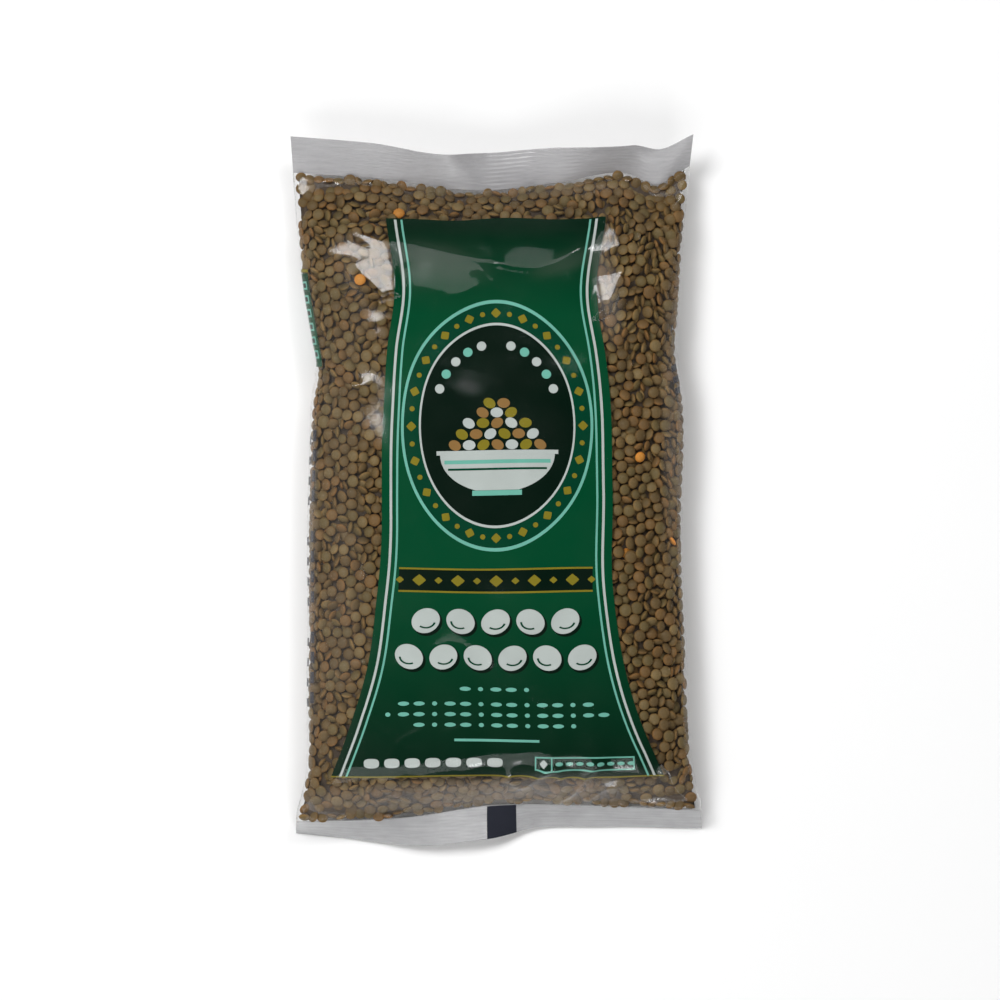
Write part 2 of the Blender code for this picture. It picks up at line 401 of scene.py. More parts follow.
class Filling:
    """Lentils pressed against the film from inside, each as far out as the ones before it leave room."""

    def __init__(self, sheet):
        self.sheet = sheet
        shape = (sheet.columns + 2 * WRAP_CELLS, sheet.rows + 1)
        self.room = np.full(shape, -FILM_CLEARANCE)
        self.top = np.full(shape, DEEPEST_TOP)
        self.owner = np.full(shape, -1)
        around = np.arange(-WRAP_CELLS, sheet.columns + WRAP_CELLS) % sheet.columns
        self.floor = FILM_CLEARANCE - sheet.depth[around]
        self.size_u = sheet.size_u[around]
        self.size_v = sheet.size_v[around]
        self.bend_u = sheet.bend_u[around]
        self.bend_v = sheet.bend_v[around]
        self.lentils = []
        self.wedged = []

    def shaped(self, u, v, tilt, turn, radius, half):
        """The lentil's surfaces over the cells near (u, v), with its centre level with the film."""
        i, j = int(round(u)) + WRAP_CELLS, int(round(v))
        size_u, size_v = self.size_u[i, j], self.size_v[i, j]
        reach_u = min(int(radius / size_u) + 1, WRAP_CELLS - 2)
        reach_v = int(radius / size_v) + 1
        low, high = max(j - reach_v, 0), min(j + reach_v, self.sheet.rows)
        window = (slice(i - reach_u, i + reach_u + 1), slice(low, high + 1))
        x = (np.arange(-reach_u, reach_u + 1)[:, None] - (u + WRAP_CELLS - i)) * size_u
        y = (np.arange(low - j, high - j + 1)[None] - (v - j)) * size_v
        over, under, covered, inner = lens_heights(tilt, turn, radius, half, x, y)
        bend = (self.bend_u[i, j] * x * x + self.bend_v[i, j] * y * y) / 2
        return SimpleNamespace(
            u=u, v=v, tilt=tilt, turn=turn, radius=radius, half=half, cell=size_u * size_v,
            window=window, over=over + bend, under=under + bend, covered=covered, inner=inner,
        )

    def fitted(self, u, v, tilt, turn, radius, half):
        """The lentil where it comes to rest at (u, v), with what it adds to the view, or None."""
        lentil = self.shaped(u, v, tilt, turn, radius, half)
        if not lentil.inner.any():
            return None
        height = np.min((self.room[lentil.window] - lentil.over)[lentil.inner])
        if np.any((height + lentil.under < self.floor[lentil.window])[lentil.inner]):
            return None
        rise = np.where(lentil.covered, height + lentil.over - self.top[lentil.window], 0)
        lentil.gain = np.maximum(rise, 0).sum() * lentil.cell
        lentil.worth = lentil.gain / lentil.covered.sum() ** 0.5
        lentil.height = height
        return lentil

    def wedge(self, u, v, tilt, turn, radius, half):
        """Puts a lentil halfway between front and back, where it fills the bag's whole depth."""
        middle = float(-sampled(self.sheet.depth, u, v) / 2)
        index = len(self.lentils)
        self.wedged.append(sampled(self.sheet.place, u, v)[:2])
        for hand in (1, -1):
            lentil = self.shaped(hand * u % self.sheet.columns, v, tilt, hand * turn, radius, half)
            lentil.height = middle
            self.place(lentil, index, firm=False)

    def place(self, lentil, index=None, firm=True):
        """Puts the lentil in and keeps the two wrapped ends of the sheet alike."""
        index = len(self.lentils) if index is None else index
        window, covered = lentil.window, lentil.covered
        over, under = lentil.height + lentil.over, lentil.height + lentil.under
        seen = covered & (over > self.top[window])
        under = np.maximum(under, over[covered].max() - TUCK_DEPTH)
        if firm:
            self.room[window] = np.where(covered, np.minimum(self.room[window], under), self.room[window])
        self.top[window] = np.where(seen, over, self.top[window])
        self.owner[window] = np.where(seen, index, self.owner[window])
        if index == len(self.lentils):
            self.lentils.append(lentil)
        first, last = window[0].start, window[0].stop
        ring = self.sheet.columns
        if first < 2 * WRAP_CELLS:
            self.copy_over(slice(first, last), ring)
        if last > ring:
            self.copy_over(slice(first, last), -ring)

    def copy_over(self, columns, shift):
        """Repeats the columns where the sheet wraps onto itself."""
        start = max(columns.start, -shift)
        stop = min(columns.stop, self.room.shape[0] - shift)
        if start < stop:
            source, target = slice(start, stop), slice(start + shift, stop + shift)
            for field in (self.room, self.top, self.owner):
                field[target] = field[source]


def steepest(depth):
    """The most that a lentil can tilt between two layers of film this far apart."""
    half_room = np.clip(depth / 2 - FILM_CLEARANCE, LENTIL_HALF_THICKNESS, LENTIL_RADIUS)
    return np.arcsin(np.sqrt(
        (half_room**2 - LENTIL_HALF_THICKNESS**2) / (LENTIL_RADIUS**2 - LENTIL_HALF_THICKNESS**2)
    ))


def wanted_lean(sheet, u, v, rng):
    """How lentils lie there: flat in the open, on edge along the long edges and near the seals."""
    i = np.round(u).astype(int) % sheet.columns
    j = np.clip(np.round(v).astype(int), 0, sheet.rows)
    across, along = sheet.across[i, j], sheet.along[j]
    # More stand on edge at the upper right, where the photo's lentils have slid down.
    slid = SLID_SHARE * np.clip((along - SLID_START[0]) / SLID_START[1], 0, 1) * (across > 0)
    to_edge = np.clip((np.abs(across) - EDGE_START[0] + slid) / EDGE_START[1], 0, 1)
    to_top = np.clip((along - TOP_START[0]) / TOP_START[1], 0, 1)
    to_end = np.maximum(to_top, np.clip((FOOT_START[0] - along) / FOOT_START[1], 0, 1))
    count = len(u)
    flat = np.abs(rng.normal(0, FLAT_SPREAD, count))
    tipped = rng.uniform(*TIPPED, count)
    tilt = np.where(rng.random(count) < FLAT_SHARE, flat, tipped)
    standing = rng.uniform(*STANDING, count)
    crowded = np.maximum(to_edge * CROWDED_AT_EDGE, to_end * CROWDED_AT_END)
    tilt = np.where(rng.random(count) < crowded, standing, tilt)
    turn = rng.uniform(0, 2 * math.pi, count)
    along_edge = np.where(rng.random(count) < 0.5, 0.0, math.pi)
    along_edge = along_edge + rng.normal(0, EDGE_TURN_SPREAD, count)
    along_end = np.where(rng.random(count) < 0.5, 0.5, 1.5) * math.pi
    along_end = along_end + rng.normal(0, END_TURN_SPREAD, count)
    turn = np.where(rng.random(count) < to_end * TURNED_AT_END, along_end, turn)
    turn = np.where(rng.random(count) < to_edge, along_edge, turn)
    return np.minimum(np.radians(tilt), steepest(WEDGE_SHARE * sheet.depth[i, j])), turn


def lentil_sizes(count, rng):
    """Radii and half thicknesses of some lentils."""
    radius = LENTIL_RADIUS * np.clip(rng.normal(1, RADIUS_SPREAD, count), *RADIUS_SHARES)
    half = LENTIL_HALF_THICKNESS * np.clip(rng.normal(1, THICKNESS_SPREAD, count), *THICKNESS_SHARES)
    return radius, half


def settled_layer(sheet, rng):
    """Places of the outer layer: footprints pushed apart until they lie close and barely overlap."""
    area = float((sheet.size_u * sheet.size_v).sum())
    rank = np.arange(int(2 * area / (math.pi * LENTIL_RADIUS**2)))
    u = rank * EVEN_STEPS[0] % 1 * sheet.columns
    v = rank * EVEN_STEPS[1] % 1 * sheet.rows
    tilt, turn = wanted_lean(sheet, u, v, rng)
    radius, half = lentil_sizes(len(rank), rng)
    short = np.sqrt((radius * np.cos(tilt)) ** 2 + (half * np.sin(tilt)) ** 2)
    count = int(np.searchsorted(np.cumsum(math.pi * radius * short), LAYER_DENSITY * area))
    u, v, tilt, turn, radius, half, short = (k[:count] for k in (u, v, tilt, turn, radius, half, short))
    cos, sin = np.cos(turn), np.sin(turn)
    xx = cos**2 / short**2 + sin**2 / radius**2
    yy = sin**2 / short**2 + cos**2 / radius**2
    xy = cos * sin * (1 / short**2 - 1 / radius**2)
    near = None
    for step in range(SETTLE_STEPS):
        i = np.round(u).astype(int) % sheet.columns
        j = np.clip(np.round(v).astype(int), 0, sheet.rows)
        size_u, size_v = sheet.size_u[i, j], sheet.size_v[i, j]
        if step % 10 == 0:
            near = neighbours(u, v, size_u, size_v, sheet.columns)
        a, b = near
        du = (u[b] - u[a] + sheet.columns / 2) % sheet.columns - sheet.columns / 2
        dx = du * (size_u[a] + size_u[b]) / 2
        dy = (v[b] - v[a]) * (size_v[a] + size_v[b]) / 2
        gap = np.maximum(np.hypot(dx, dy), 1e-6)
        cx, cy = dx / gap, dy / gap
        reach_a = 1 / np.sqrt(xx[a] * cx**2 + 2 * xy[a] * cx * cy + yy[a] * cy**2)
        reach_b = 1 / np.sqrt(xx[b] * cx**2 + 2 * xy[b] * cx * cy + yy[b] * cy**2)
        push = np.maximum(reach_a + reach_b - gap, 0) * PUSH_SHARE
        move_x = np.bincount(b, push * cx, count) - np.bincount(a, push * cx, count)
        move_y = np.bincount(b, push * cy, count) - np.bincount(a, push * cy, count)
        u = (u + move_x / size_u) % sheet.columns
        margin = (WEDGE_ROW + 1 / np.sqrt(yy)) / size_v
        v = np.clip(v + move_y / size_v, margin, sheet.rows - margin)
    return u, v, tilt, turn, radius, half


def neighbours(u, v, size_u, size_v, columns):
    """Pairs of lentils that are close enough to meet."""
    order = np.argsort(v)
    reach = 3 * LENTIL_RADIUS
    first, second = [], []
    ahead = 1
    ranks = np.arange(len(u))
    while True:
        a, b = order[ranks[:-ahead]], order[ranks[ahead:]]
        dy = (v[b] - v[a]) * (size_v[a] + size_v[b]) / 2
        if not (dy < reach).any():
            break
        du = (u[b] - u[a] + columns / 2) % columns - columns / 2
        dx = du * (size_u[a] + size_u[b]) / 2
        close = dx * dx + dy * dy < reach * reach
        first.append(a[close])
        second.append(b[close])
        ahead += 1
    return np.concatenate(first), np.concatenate(second)


def inward_column(sheet, row, right, distance):
    """The column of the front at this distance in from a long edge, as the front is seen."""
    x = sheet.place[: SIDE_CELLS + 1, row, 0]
    if right:
        return SIDE_CELLS - int(np.searchsorted(x[-1] - x[::-1], distance))
    return int(np.searchsorted(x - x[0], distance))


def wedge_rows(filling, rng):
    """A row of lentils pressed into the wedge along each seal, and a few down each corner."""
    sheet = filling.sheet
    for at_top in (False, True):
        edge = sheet.rows if at_top else 0
        u = float(inward_column(sheet, edge, False, ROW_INSETS[0] * LENTIL_RADIUS))
        last = inward_column(sheet, edge, True, ROW_INSETS[1] * LENTIL_RADIUS)
        while u < last:
            radius, half = (float(size[0]) for size in lentil_sizes(1, rng))
            tilt = math.radians(rng.uniform(*ROW_TILTS))
            turn = rng.choice([0.5, 1.5]) * math.pi + rng.normal(0, ROW_TURN_SPREAD)
            short = math.hypot(radius * math.cos(tilt), half * math.sin(tilt))
            wide = math.hypot(radius * math.sin(turn), short * math.cos(turn))
            tall = math.hypot(radius * math.cos(turn), short * math.sin(turn))
            size_u, size_v = sheet.size_u[int(u), edge], sheet.size_v[int(u), edge]
            away = (ROW_STAND_OFF * tall + abs(rng.normal(0.0, ROW_STRAY))) / size_v
            u += ROW_CLOSENESS * wide / size_u
            if u < last:
                filling.wedge(u, edge - away if at_top else away, tilt, turn, radius, half)
            u += (ROW_CLOSENESS * wide + rng.uniform(*ROW_GAPS)) / size_u
        for far in CORNER_ROW:
            row = int(far / sheet.size_v[0, 0])
            row = sheet.rows - row if at_top else row
            for right in (False, True):
                radius, half = (float(size[0]) for size in lentil_sizes(1, rng))
                u = inward_column(sheet, row, right, CORNER_INSET * radius)
                tilt = math.acos(min(abs(sheet.normal[u, row, 2]), 1.0))
                tilt += rng.normal(0, CORNER_TILT_SPREAD)
                turn = (math.pi if right else 0.0) + rng.normal(0, CORNER_TURN_SPREAD)
                filling.wedge(float(u), float(row), tilt, turn, radius, half)


def filled_bag(sheet, rng):
    """Every lentil near the film: a close outer layer, then more wherever a gap shows between them."""
    filling = Filling(sheet)
    wedge_rows(filling, rng)
    u, v, tilt, turn, radius, half = settled_layer(sheet, rng)
    for k in rng.permutation(len(u)):
        lentil = filling.fitted(u[k], v[k], tilt[k], turn[k], radius[k], half[k])
        if lentil and lentil.height > DEEPEST_REST:
            filling.place(lentil)
    fill_gaps(filling, rng)
    return filling


def wedge_in(filling, i, j, radius, half, rng):
    """Fills a gap near a seal with a lentil halfway between front and back, clear of seal and edges."""
    sheet = filling.sheet
    row = int(np.clip(j, SEAL_CLEAR_CELLS, sheet.rows - SEAL_CLEAR_CELLS))
    first, last = (inward_column(sheet, row, right, GAP_INSET * radius) for right in (False, True))
    u = int(np.clip(i if i < SIDE_CELLS else sheet.columns - i, first, last))
    away = np.array(filling.wedged) - sheet.place[u, row, :2]
    if np.hypot(away[:, 0], away[:, 1]).min() < WEDGE_SPACING:
        return
    tilt = min(math.radians(rng.uniform(*GAP_TILTS)), float(steepest(WEDGE_SHARE * sheet.depth[u, row])))
    turn = (0.5 if j > sheet.rows / 2 else 1.5) * math.pi + rng.normal(0, GAP_TURN_SPREAD)
    filling.wedge(float(u), float(row), tilt, turn, radius, half)


def fill_gaps(filling, rng):
    """Adds lentils behind the gaps of the outer layer, each where it closes most of one."""
    sheet = filling.sheet
    spent = np.zeros((sheet.columns, sheet.rows + 1), bool)
    for _ in range(FILL_TRIES):
        i = rng.integers(0, sheet.columns, FILL_DRAWS)
        j = rng.integers(0, sheet.rows + 1, FILL_DRAWS)
        level = np.where(spent[i, j], 0, filling.top[i + WRAP_CELLS, j])
        pick = int(np.argmin(level))
        if level[pick] > HOLE_DEPTH:
            continue
        best = None
        radius, half = lentil_sizes(1, rng)
        u = (i[pick] + rng.normal(0, FILL_REACH_CELLS, FILL_CHOICES)) % sheet.columns
        v = np.clip(j[pick] + rng.normal(0, FILL_REACH_CELLS, FILL_CHOICES), 0, sheet.rows)
        tilt, turn = wanted_lean(sheet, u, v, rng)
        tilt = np.clip(tilt + rng.normal(0, FILL_TILT_SPREAD, FILL_CHOICES), 0, tilt.max())
        for k in range(FILL_CHOICES):
            lentil = filling.fitted(u[k], v[k], tilt[k], turn[k], radius[0], half[0])
            if lentil and lentil.height > DEEPEST_REST and (best is None or lentil.worth > best.worth):
                best = lentil
        if best is None or best.gain < GAP_WORTH_FILLING:
            spent[max(i[pick] - 2, 0) : i[pick] + 3, max(j[pick] - 2, 0) : j[pick] + 3] = True
            if min(j[pick], sheet.rows - j[pick]) < END_CELLS and level[pick] <= DEEPEST_TOP:
                wedge_in(filling, i[pick], j[pick], radius[0], half[0], rng)
        else:
            filling.place(best)


def new_object(name, vertices, faces, material, smooth=True):
    """A mesh object from arrays of points and of faces with the same number of corners."""
    mesh = bpy.data.meshes.new(name)
    faces = np.asarray(faces, dtype=np.int32)
    mesh.vertices.add(len(vertices))
    mesh.vertices.foreach_set("co", np.asarray(vertices, dtype=np.float32).ravel())
    mesh.loops.add(faces.size)
    mesh.loops.foreach_set("vertex_index", faces.ravel())
    mesh.polygons.add(len(faces))
    mesh.polygons.foreach_set("loop_start", np.arange(0, faces.size, faces.shape[1], dtype=np.int32))
    mesh.update(calc_edges=True)
    mesh.validate()
    mesh.polygons.foreach_set("use_smooth", np.full(len(mesh.polygons), smooth))
    mesh.materials.append(material)
    made = bpy.data.objects.new(name, mesh)
    bpy.context.scene.collection.objects.link(made)
    return made


def grid_faces(columns, rows, wrap=False):
    """Quads of a grid of points, stored column by column."""
    index = np.arange(columns * rows).reshape(columns, rows)
    if wrap:
        index = np.vstack([index, index[:1]])
    return np.stack([index[:-1, :-1], index[1:, :-1], index[1:, 1:], index[:-1, 1:]], axis=-1).reshape(-1, 4)


def lens_template():
    """Points and triangles of one lentil of radius 1 and half thickness 1."""
    angle = np.arange(LENS_SEGMENTS) * 2 * math.pi / LENS_SEGMENTS
    ring = np.stack([np.cos(angle), np.sin(angle)], axis=-1)
    levels = [(r, (1 - r * r) ** LENS_POWER) for r in LENS_RINGS]
    levels += [(1.0, 0.0), (LENS_INNER_RING, -((1 - LENS_INNER_RING**2) ** LENS_POWER))]
    points = [[0, 0, 1]]
    for r, z in levels:
        points += [[r * x, r * y, z] for x, y in ring]
    points.append([0, 0, -1])
    n = LENS_SEGMENTS
    faces = [[0, 1 + k, 1 + (k + 1) % n] for k in range(n)]
    for level in range(len(levels) - 1):
        a, b = 1 + level * n, 1 + (level + 1) * n
        for k in range(n):
            after = (k + 1) % n
            faces += [[a + k, b + k, b + after], [a + k, b + after, a + after]]
    last, end = 1 + (len(levels) - 1) * n, len(points) - 1
    faces += [[end, last + (k + 1) % n, last + k] for k in range(n)]
    return np.array(points, float), np.array(faces)


def seen_lentils(filling):
    """The lentils that show from outside, as arrays of their places and turned axes in the scene."""
    sheet = filling.sheet
    owner = filling.owner[WRAP_CELLS : WRAP_CELLS + sheet.columns]
    counts = np.bincount(owner[owner >= 0].ravel(), minlength=len(filling.lentils))
    for lentil, count in zip(filling.lentils, counts):
        lentil.shown = count
    kept = [lentil for lentil in filling.lentils if lentil.shown >= 5]
    values = np.array([[k.u, k.v, k.tilt, k.turn, k.radius, k.half, k.height] for k in kept])
    u, v, tilt, turn, radius, half, height = values.T
    normal = unit(sampled(sheet.normal, u, v))
    tangent = sampled(sheet.tangent, u, v)
    tangent = unit(tangent - normal * (tangent * normal).sum(-1, keepdims=True))
    upward = np.cross(normal, tangent)
    lean = tangent * np.cos(turn)[:, None] + upward * np.sin(turn)[:, None]
    axis = normal * np.cos(tilt)[:, None] + lean * np.sin(tilt)[:, None]
    centre = sampled(sheet.place, u, v) + normal * height[:, None]
    return SimpleNamespace(centre=centre, axis=axis, side=np.cross(axis, unit(np.cross(lean, normal))),
                           radius=radius, half=half, shown=np.array([k.shown * k.cell for k in kept]))


def lentil_mesh(name, lentils, chosen, rng, material):
    """One joined mesh of the chosen lentils, each a little out of round and of its own tone."""
    points, faces = lens_template()
    count = int(chosen.sum())
    axis = lentils.axis[chosen]
    first = unit(lentils.side[chosen])
    second = np.cross(axis, first)
    spin = rng.uniform(0, 2 * math.pi, count)[:, None]
    across = first * np.cos(spin) + second * np.sin(spin)
    other = np.cross(axis, across)
    radius, half = lentils.radius[chosen], lentils.half[chosen]
    oval = rng.uniform(0.0, OUT_OF_ROUND, count)
    vertices = (
        lentils.centre[chosen][:, None]
        + points[None, :, :1] * (across * (radius * (1 - oval))[:, None])[:, None]
        + points[None, :, 1:2] * (other * radius[:, None])[:, None]
        + points[None, :, 2:] * (axis * half[:, None])[:, None]
    ).reshape(-1, 3)
    joined = (faces[None] + (np.arange(count) * len(points))[:, None, None]).reshape(-1, 3)
    made = new_object(name, vertices, joined, material)
    tone = made.data.attributes.new("tone", "FLOAT", "POINT")
    tone.data.foreach_set("value", np.repeat(rng.normal(0, 1, count), len(points)).astype(np.float32))
    rim = made.data.attributes.new("rim", "FLOAT", "POINT")
    rim.data.foreach_set("value", np.tile(np.hypot(points[:, 0], points[:, 1]), count).astype(np.float32))
    return made


# Creases where the film stands off the lentils: points (x, y) on the front, height and width.
CREASES = (
    (((-0.0440, 0.1060), (-0.0335, 0.1041), (-0.0194, 0.1006), (-0.0095, 0.0985), (0.0022, 0.0963)),
     0.0008, 0.0022),
    (((0.0022, 0.0963), (0.0099, 0.0946), (0.0185, 0.0946), (0.0275, 0.0980), (0.0361, 0.1032)),
     0.0009, 0.0022),
    (((0.0391, 0.1226), (0.0452, 0.1170), (0.0482, 0.1140)), 0.0008, 0.0020),
    (((0.0056, -0.1230), (0.0108, -0.1268), (0.0150, -0.1247), (0.0215, -0.1200)), 0.0014, 0.0017),
    (((0.0215, -0.1200), (0.0262, -0.1195), (0.0284, -0.1238), (0.0267, -0.1290)), 0.0014, 0.0017),
    (((0.0262, -0.1337), (0.0331, -0.1290), (0.0387, -0.1225), (0.0439, -0.1174)), 0.0015, 0.0017),
    (((0.0400, -0.1320), (0.0464, -0.1273), (0.0520, -0.1264)), 0.0015, 0.0019),
    (((0.0580, -0.1346), (0.0688, -0.1333), (0.0804, -0.1359)), 0.0008, 0.0020),
    (((0.0744, -0.1200), (0.0778, -0.1281), (0.0860, -0.1350)), 0.0014, 0.0022),
    (((-0.0775, 0.0450), (-0.0770, 0.0000), (-0.0780, -0.0500), (-0.0785, -0.1150)), 0.0007, 0.0018),
    (((0.0775, 0.0500), (0.0772, 0.0050), (0.0785, -0.0500), (0.0800, -0.1000)), 0.0006, 0.0018),
    (((-0.0765, 0.0500), (-0.0650, 0.0440), (-0.0560, 0.0450)), 0.0010, 0.0026),
    (((0.0780, 0.0570), (0.0680, 0.0520), (0.0600, 0.0530)), 0.0009, 0.0026),
)
# Broad low rises of the front film: middle (x, y), half size and height.
RISES = (
    ((-0.0240, 0.0840), (0.0200, 0.0110), 0.0014),
    ((0.0280, 0.0860), (0.0130, 0.0090), 0.0010),
)
# Flat patches where the film is drawn tight and turned to a light: the light and the corners (x, y).
FACETS = (
    ("key", ((-0.0649, 0.1066), (-0.0598, 0.1114), (-0.0473, 0.1075), (-0.0420, 0.0955), (-0.0409, 0.0839),
             (-0.0486, 0.0813), (-0.0575, 0.0916))),
    ("key", ((-0.0697, 0.1144), (-0.0667, 0.1144), (-0.0662, 0.1109), (-0.0688, 0.1114))),
    ("right_box", ((0.0457, 0.1109), (0.0520, 0.1132), (0.0546, 0.1041), (0.0462, 0.1006))),
    ("right_box", ((0.0593, 0.1114), (0.0636, 0.1105), (0.0623, 0.0993), (0.0602, 0.1002))),
    ("right_box", ((0.0425, 0.0740), (0.0430, 0.0960), (0.0540, 0.0990), (0.0566, 0.0945), (0.0500, 0.0760))),
)
FACET_RISE = 0.0030
FACET_EDGE = 0.0006
FACET_SHARE = 0.75

# Short creases that nothing in the list above names.
STRAY_CREASES = 30
STRAY_PLACES = (0.072, 0.122)
STRAY_LENGTH = (0.006, 0.020)
STRAY_HEIGHT = (0.00010, 0.00030)
STRAY_WIDTH = (0.0012, 0.0022)

# The film's own unevenness: it dips between lentils, rolls, and bridges the gaps near the seals.
FILM_SAG = 0.00008
SAG_START = 0.0014
ROLLING = ((6, 0.00002), (14, 0.00009))
BRIDGE_CELLS = 10
BRIDGE_END_CELLS, BRIDGE_FADE_CELLS = 30, 12
FOLD_SLACK, FOLD_SLACK_A_CELL = 0.0002, 0.0001
FRONT_STRIPS = 184
BACK_STRIPS = 70
FILM_ROWS = 300

# Pale patches of the front film: place, half size, turn and share; partly the film's own milkiness, partly
# painted reflection where the film shows veils of reflected light.
MILK_AND_SHEEN_PATCHES = (
    ((0.0770, 0.0250), (0.0050, 0.0560), 0.0, 0.06),
    ((-0.0790, -0.0100), (0.0025, 0.0900), 0.0, 0.08),
    ((-0.0690, -0.0480), (0.0120, 0.0800), 0.0, 0.028),
    ((-0.0640, 0.0650), (0.0140, 0.0450), 0.0, 0.018),
    ((-0.0300, -0.1310), (0.0600, 0.0060), 0.05, 0.10),
    ((0.0350, -0.1290), (0.0480, 0.0070), 0.03, 0.09),
    ((0.0100, 0.1300), (0.0400, 0.0035), 0.0, 0.05),
    ((-0.0240, 0.0970), (0.0190, 0.0070), -0.20, 0.035),
    ((0.0300, 0.0970), (0.0130, 0.0040), 0.35, 0.030),
    ((0.0475, 0.0850), (0.0050, 0.0180), 0.15, 0.11),
)

# The back film's height where the bag lies, and the fin seam lapped flat under its middle.
BACK_REST = 0.00012
FIN_WIDTH = 0.0125
FIN_LIFT = 0.00009


def distance_to_line(x, y, points):
    """The distance from places on the front to a line through the points."""
    best = np.full(x.shape, np.inf)
    for (ax, ay), (bx, by) in zip(points[:-1], points[1:]):
        dx, dy = bx - ax, by - ay
        t = np.clip(((x - ax) * dx + (y - ay) * dy) / (dx * dx + dy * dy), 0, 1)
        best = np.minimum(best, np.hypot(x - ax - t * dx, y - ay - t * dy))
    return best


def distance_outside(x, y, corners):
    """How far places lie outside a convex patch of the front; it is negative inside."""
    corners = np.array(corners)
    middle = corners.mean(axis=0)
    out = np.full(x.shape, -np.inf)
    for (ax, ay), (bx, by) in zip(corners, np.roll(corners, -1, axis=0)):
        away = np.array([by - ay, ax - bx]) / math.hypot(bx - ax, by - ay)
        away *= -np.sign(away @ (middle - (ax, ay)))
        out = np.maximum(out, away[0] * (x - ax) + away[1] * (y - ay))
    return out


def rounded_line(points, steps=6):
    """More points on a smooth curve through a few."""
    points = np.array(points)
    if len(points) < 3:
        return points
    place = np.arange(len(points), dtype=float)
    fine = np.linspace(0, len(points) - 1, steps * (len(points) - 1) + 1)
    curves = [curve_through(np.stack([place, points[:, k]], axis=-1))(fine) for k in range(2)]
    return np.stack(curves, axis=-1)


def creases(rng):
    """The named creases and some short stray ones, mostly across the bag near its two ends."""
    listed = [(rounded_line(points), height, width) for points, height, width in CREASES]
    for _ in range(STRAY_CREASES):
        x = rng.uniform(-STRAY_PLACES[0], STRAY_PLACES[0])
        y = rng.choice([-1, 1]) * rng.uniform(0.3, 1) ** 0.5 * STRAY_PLACES[1]
        turn = rng.normal(0, 0.6)
        half = rng.uniform(*STRAY_LENGTH) / 2
        bow = rng.normal(0, 0.15) * half
        points = [
            (x - half * math.cos(turn), y - half * math.sin(turn)),
            (x - bow * math.sin(turn), y + bow * math.cos(turn)),
            (x + half * math.cos(turn), y + half * math.sin(turn)),
        ]
        listed.append((rounded_line(points, 3), rng.uniform(*STRAY_HEIGHT), rng.uniform(*STRAY_WIDTH)))
    return listed


def film_offsets(sheet, filling, rng):
    """How far the film stands from its plain form: slight dips between lentils, and creases on the front."""
    top = filling.top[WRAP_CELLS : WRAP_CELLS + sheet.columns]
    cover = np.clip((top + SAG_START) / (SAG_START - FILM_CLEARANCE), 0, 1)
    offset = -FILM_SAG * (1 - smoothed(cover, 4))
    for cells, height in ROLLING:
        field = smoothed(rng.normal(0, 1, top.shape), cells)
        offset = offset + height * (1 + field / field.std())
    ends = np.minimum(np.arange(sheet.rows + 1), sheet.rows - np.arange(sheet.rows + 1))
    bridged = top.copy()
    for reach in range(1, BRIDGE_CELLS):
        bridged = np.maximum(bridged, np.maximum(np.roll(top, reach, axis=0), np.roll(top, -reach, axis=0)))
    bridged = smoothed(bridged, 5) + 0.7 * FILM_CLEARANCE
    near_end = np.clip((BRIDGE_END_CELLS - ends) / BRIDGE_FADE_CELLS, 0, 1)
    offset = np.maximum(offset, offset + (bridged - offset) * near_end)
    offset = smoothed(np.maximum(offset, top + 0.8 * FILM_CLEARANCE), 2)
    offset = smoothed(np.maximum(offset, top + 0.3 * FILM_CLEARANCE), 1)
    round_bag = np.arange(sheet.columns) % SIDE_CELLS
    from_fold = np.minimum(round_bag, SIDE_CELLS - round_bag)[:, None]
    offset = np.minimum(offset, FOLD_SLACK + FOLD_SLACK_A_CELL * from_fold)
    x, y = sheet.place[: SIDE_CELLS + 1, :, 0], sheet.place[: SIDE_CELLS + 1, :, 1]
    lift = np.zeros_like(x)
    for points, height, width in creases(rng):
        near = (np.abs(x - points[:, 0].mean()) < 0.11) & (np.abs(y - points[:, 1].mean()) < 0.11)
        away = distance_to_line(x[near], y[near], points)
        lift[near] += height * np.exp(0.25 - np.sqrt(0.0625 + (away / width) ** 2))
    for (middle_x, middle_y), (wide, high), height in RISES:
        lift += height * np.exp(-(((x - middle_x) / wide) ** 2) - ((y - middle_y) / high) ** 2)
    rise = sheet.place[: SIDE_CELLS + 1, :, 2]
    for light, corners in FACETS:
        outside = distance_outside(x, y, corners)
        inside = outside < 0
        toward = unit(np.array(LIGHTS[light].place) - np.array([x[inside].mean(), y[inside].mean(), 0.03]))
        slope_x, slope_y = -toward[0] / (toward[2] + 1), -toward[1] / (toward[2] + 1)
        plane = slope_x * x + slope_y * y
        plane += np.quantile((rise - plane)[inside], FACET_SHARE)
        lift += np.clip(plane - rise, 0, FACET_RISE) / (1 + np.exp(np.clip(outside / FACET_EDGE, -30, 30)))
    offset[: SIDE_CELLS + 1] += lift
    return offset * np.clip(ends / 4, 0, 1)


class Film:
    """The film's surface over the sheet, and the way onto it from a place seen on the front."""

    def __init__(self, sheet, offset):
        self.sheet = sheet
        self.offset = offset

    def at(self, u, v, lift=0.0):
        place = sampled(self.sheet.place, u, v)
        out = unit(sampled(self.sheet.normal, u, v))
        made = place + out * (sampled(self.offset, u, v) + lift)[..., None]
        made[..., 2] = np.maximum(made[..., 2], BACK_REST - lift)
        return made

    def from_front(self, x, y):
        """Cells of the sheet under places (x, y) of the front."""
        across = 2 * (x - left_edge(y)) / (right_edge(y) - left_edge(y)) - 1
        low, high = bottom_root(across), top_root(across)
        v = np.interp((y - low) / (high - low), self.sheet.along, np.arange(self.sheet.rows + 1))
        u = np.empty_like(v)
        row = np.round(v).astype(int)
        cells = np.arange(SIDE_CELLS + 1)
        for j in np.unique(row):
            here = row == j
            u[here] = np.interp(across[here], self.sheet.across[: SIDE_CELLS + 1, j], cells)
        return u, v


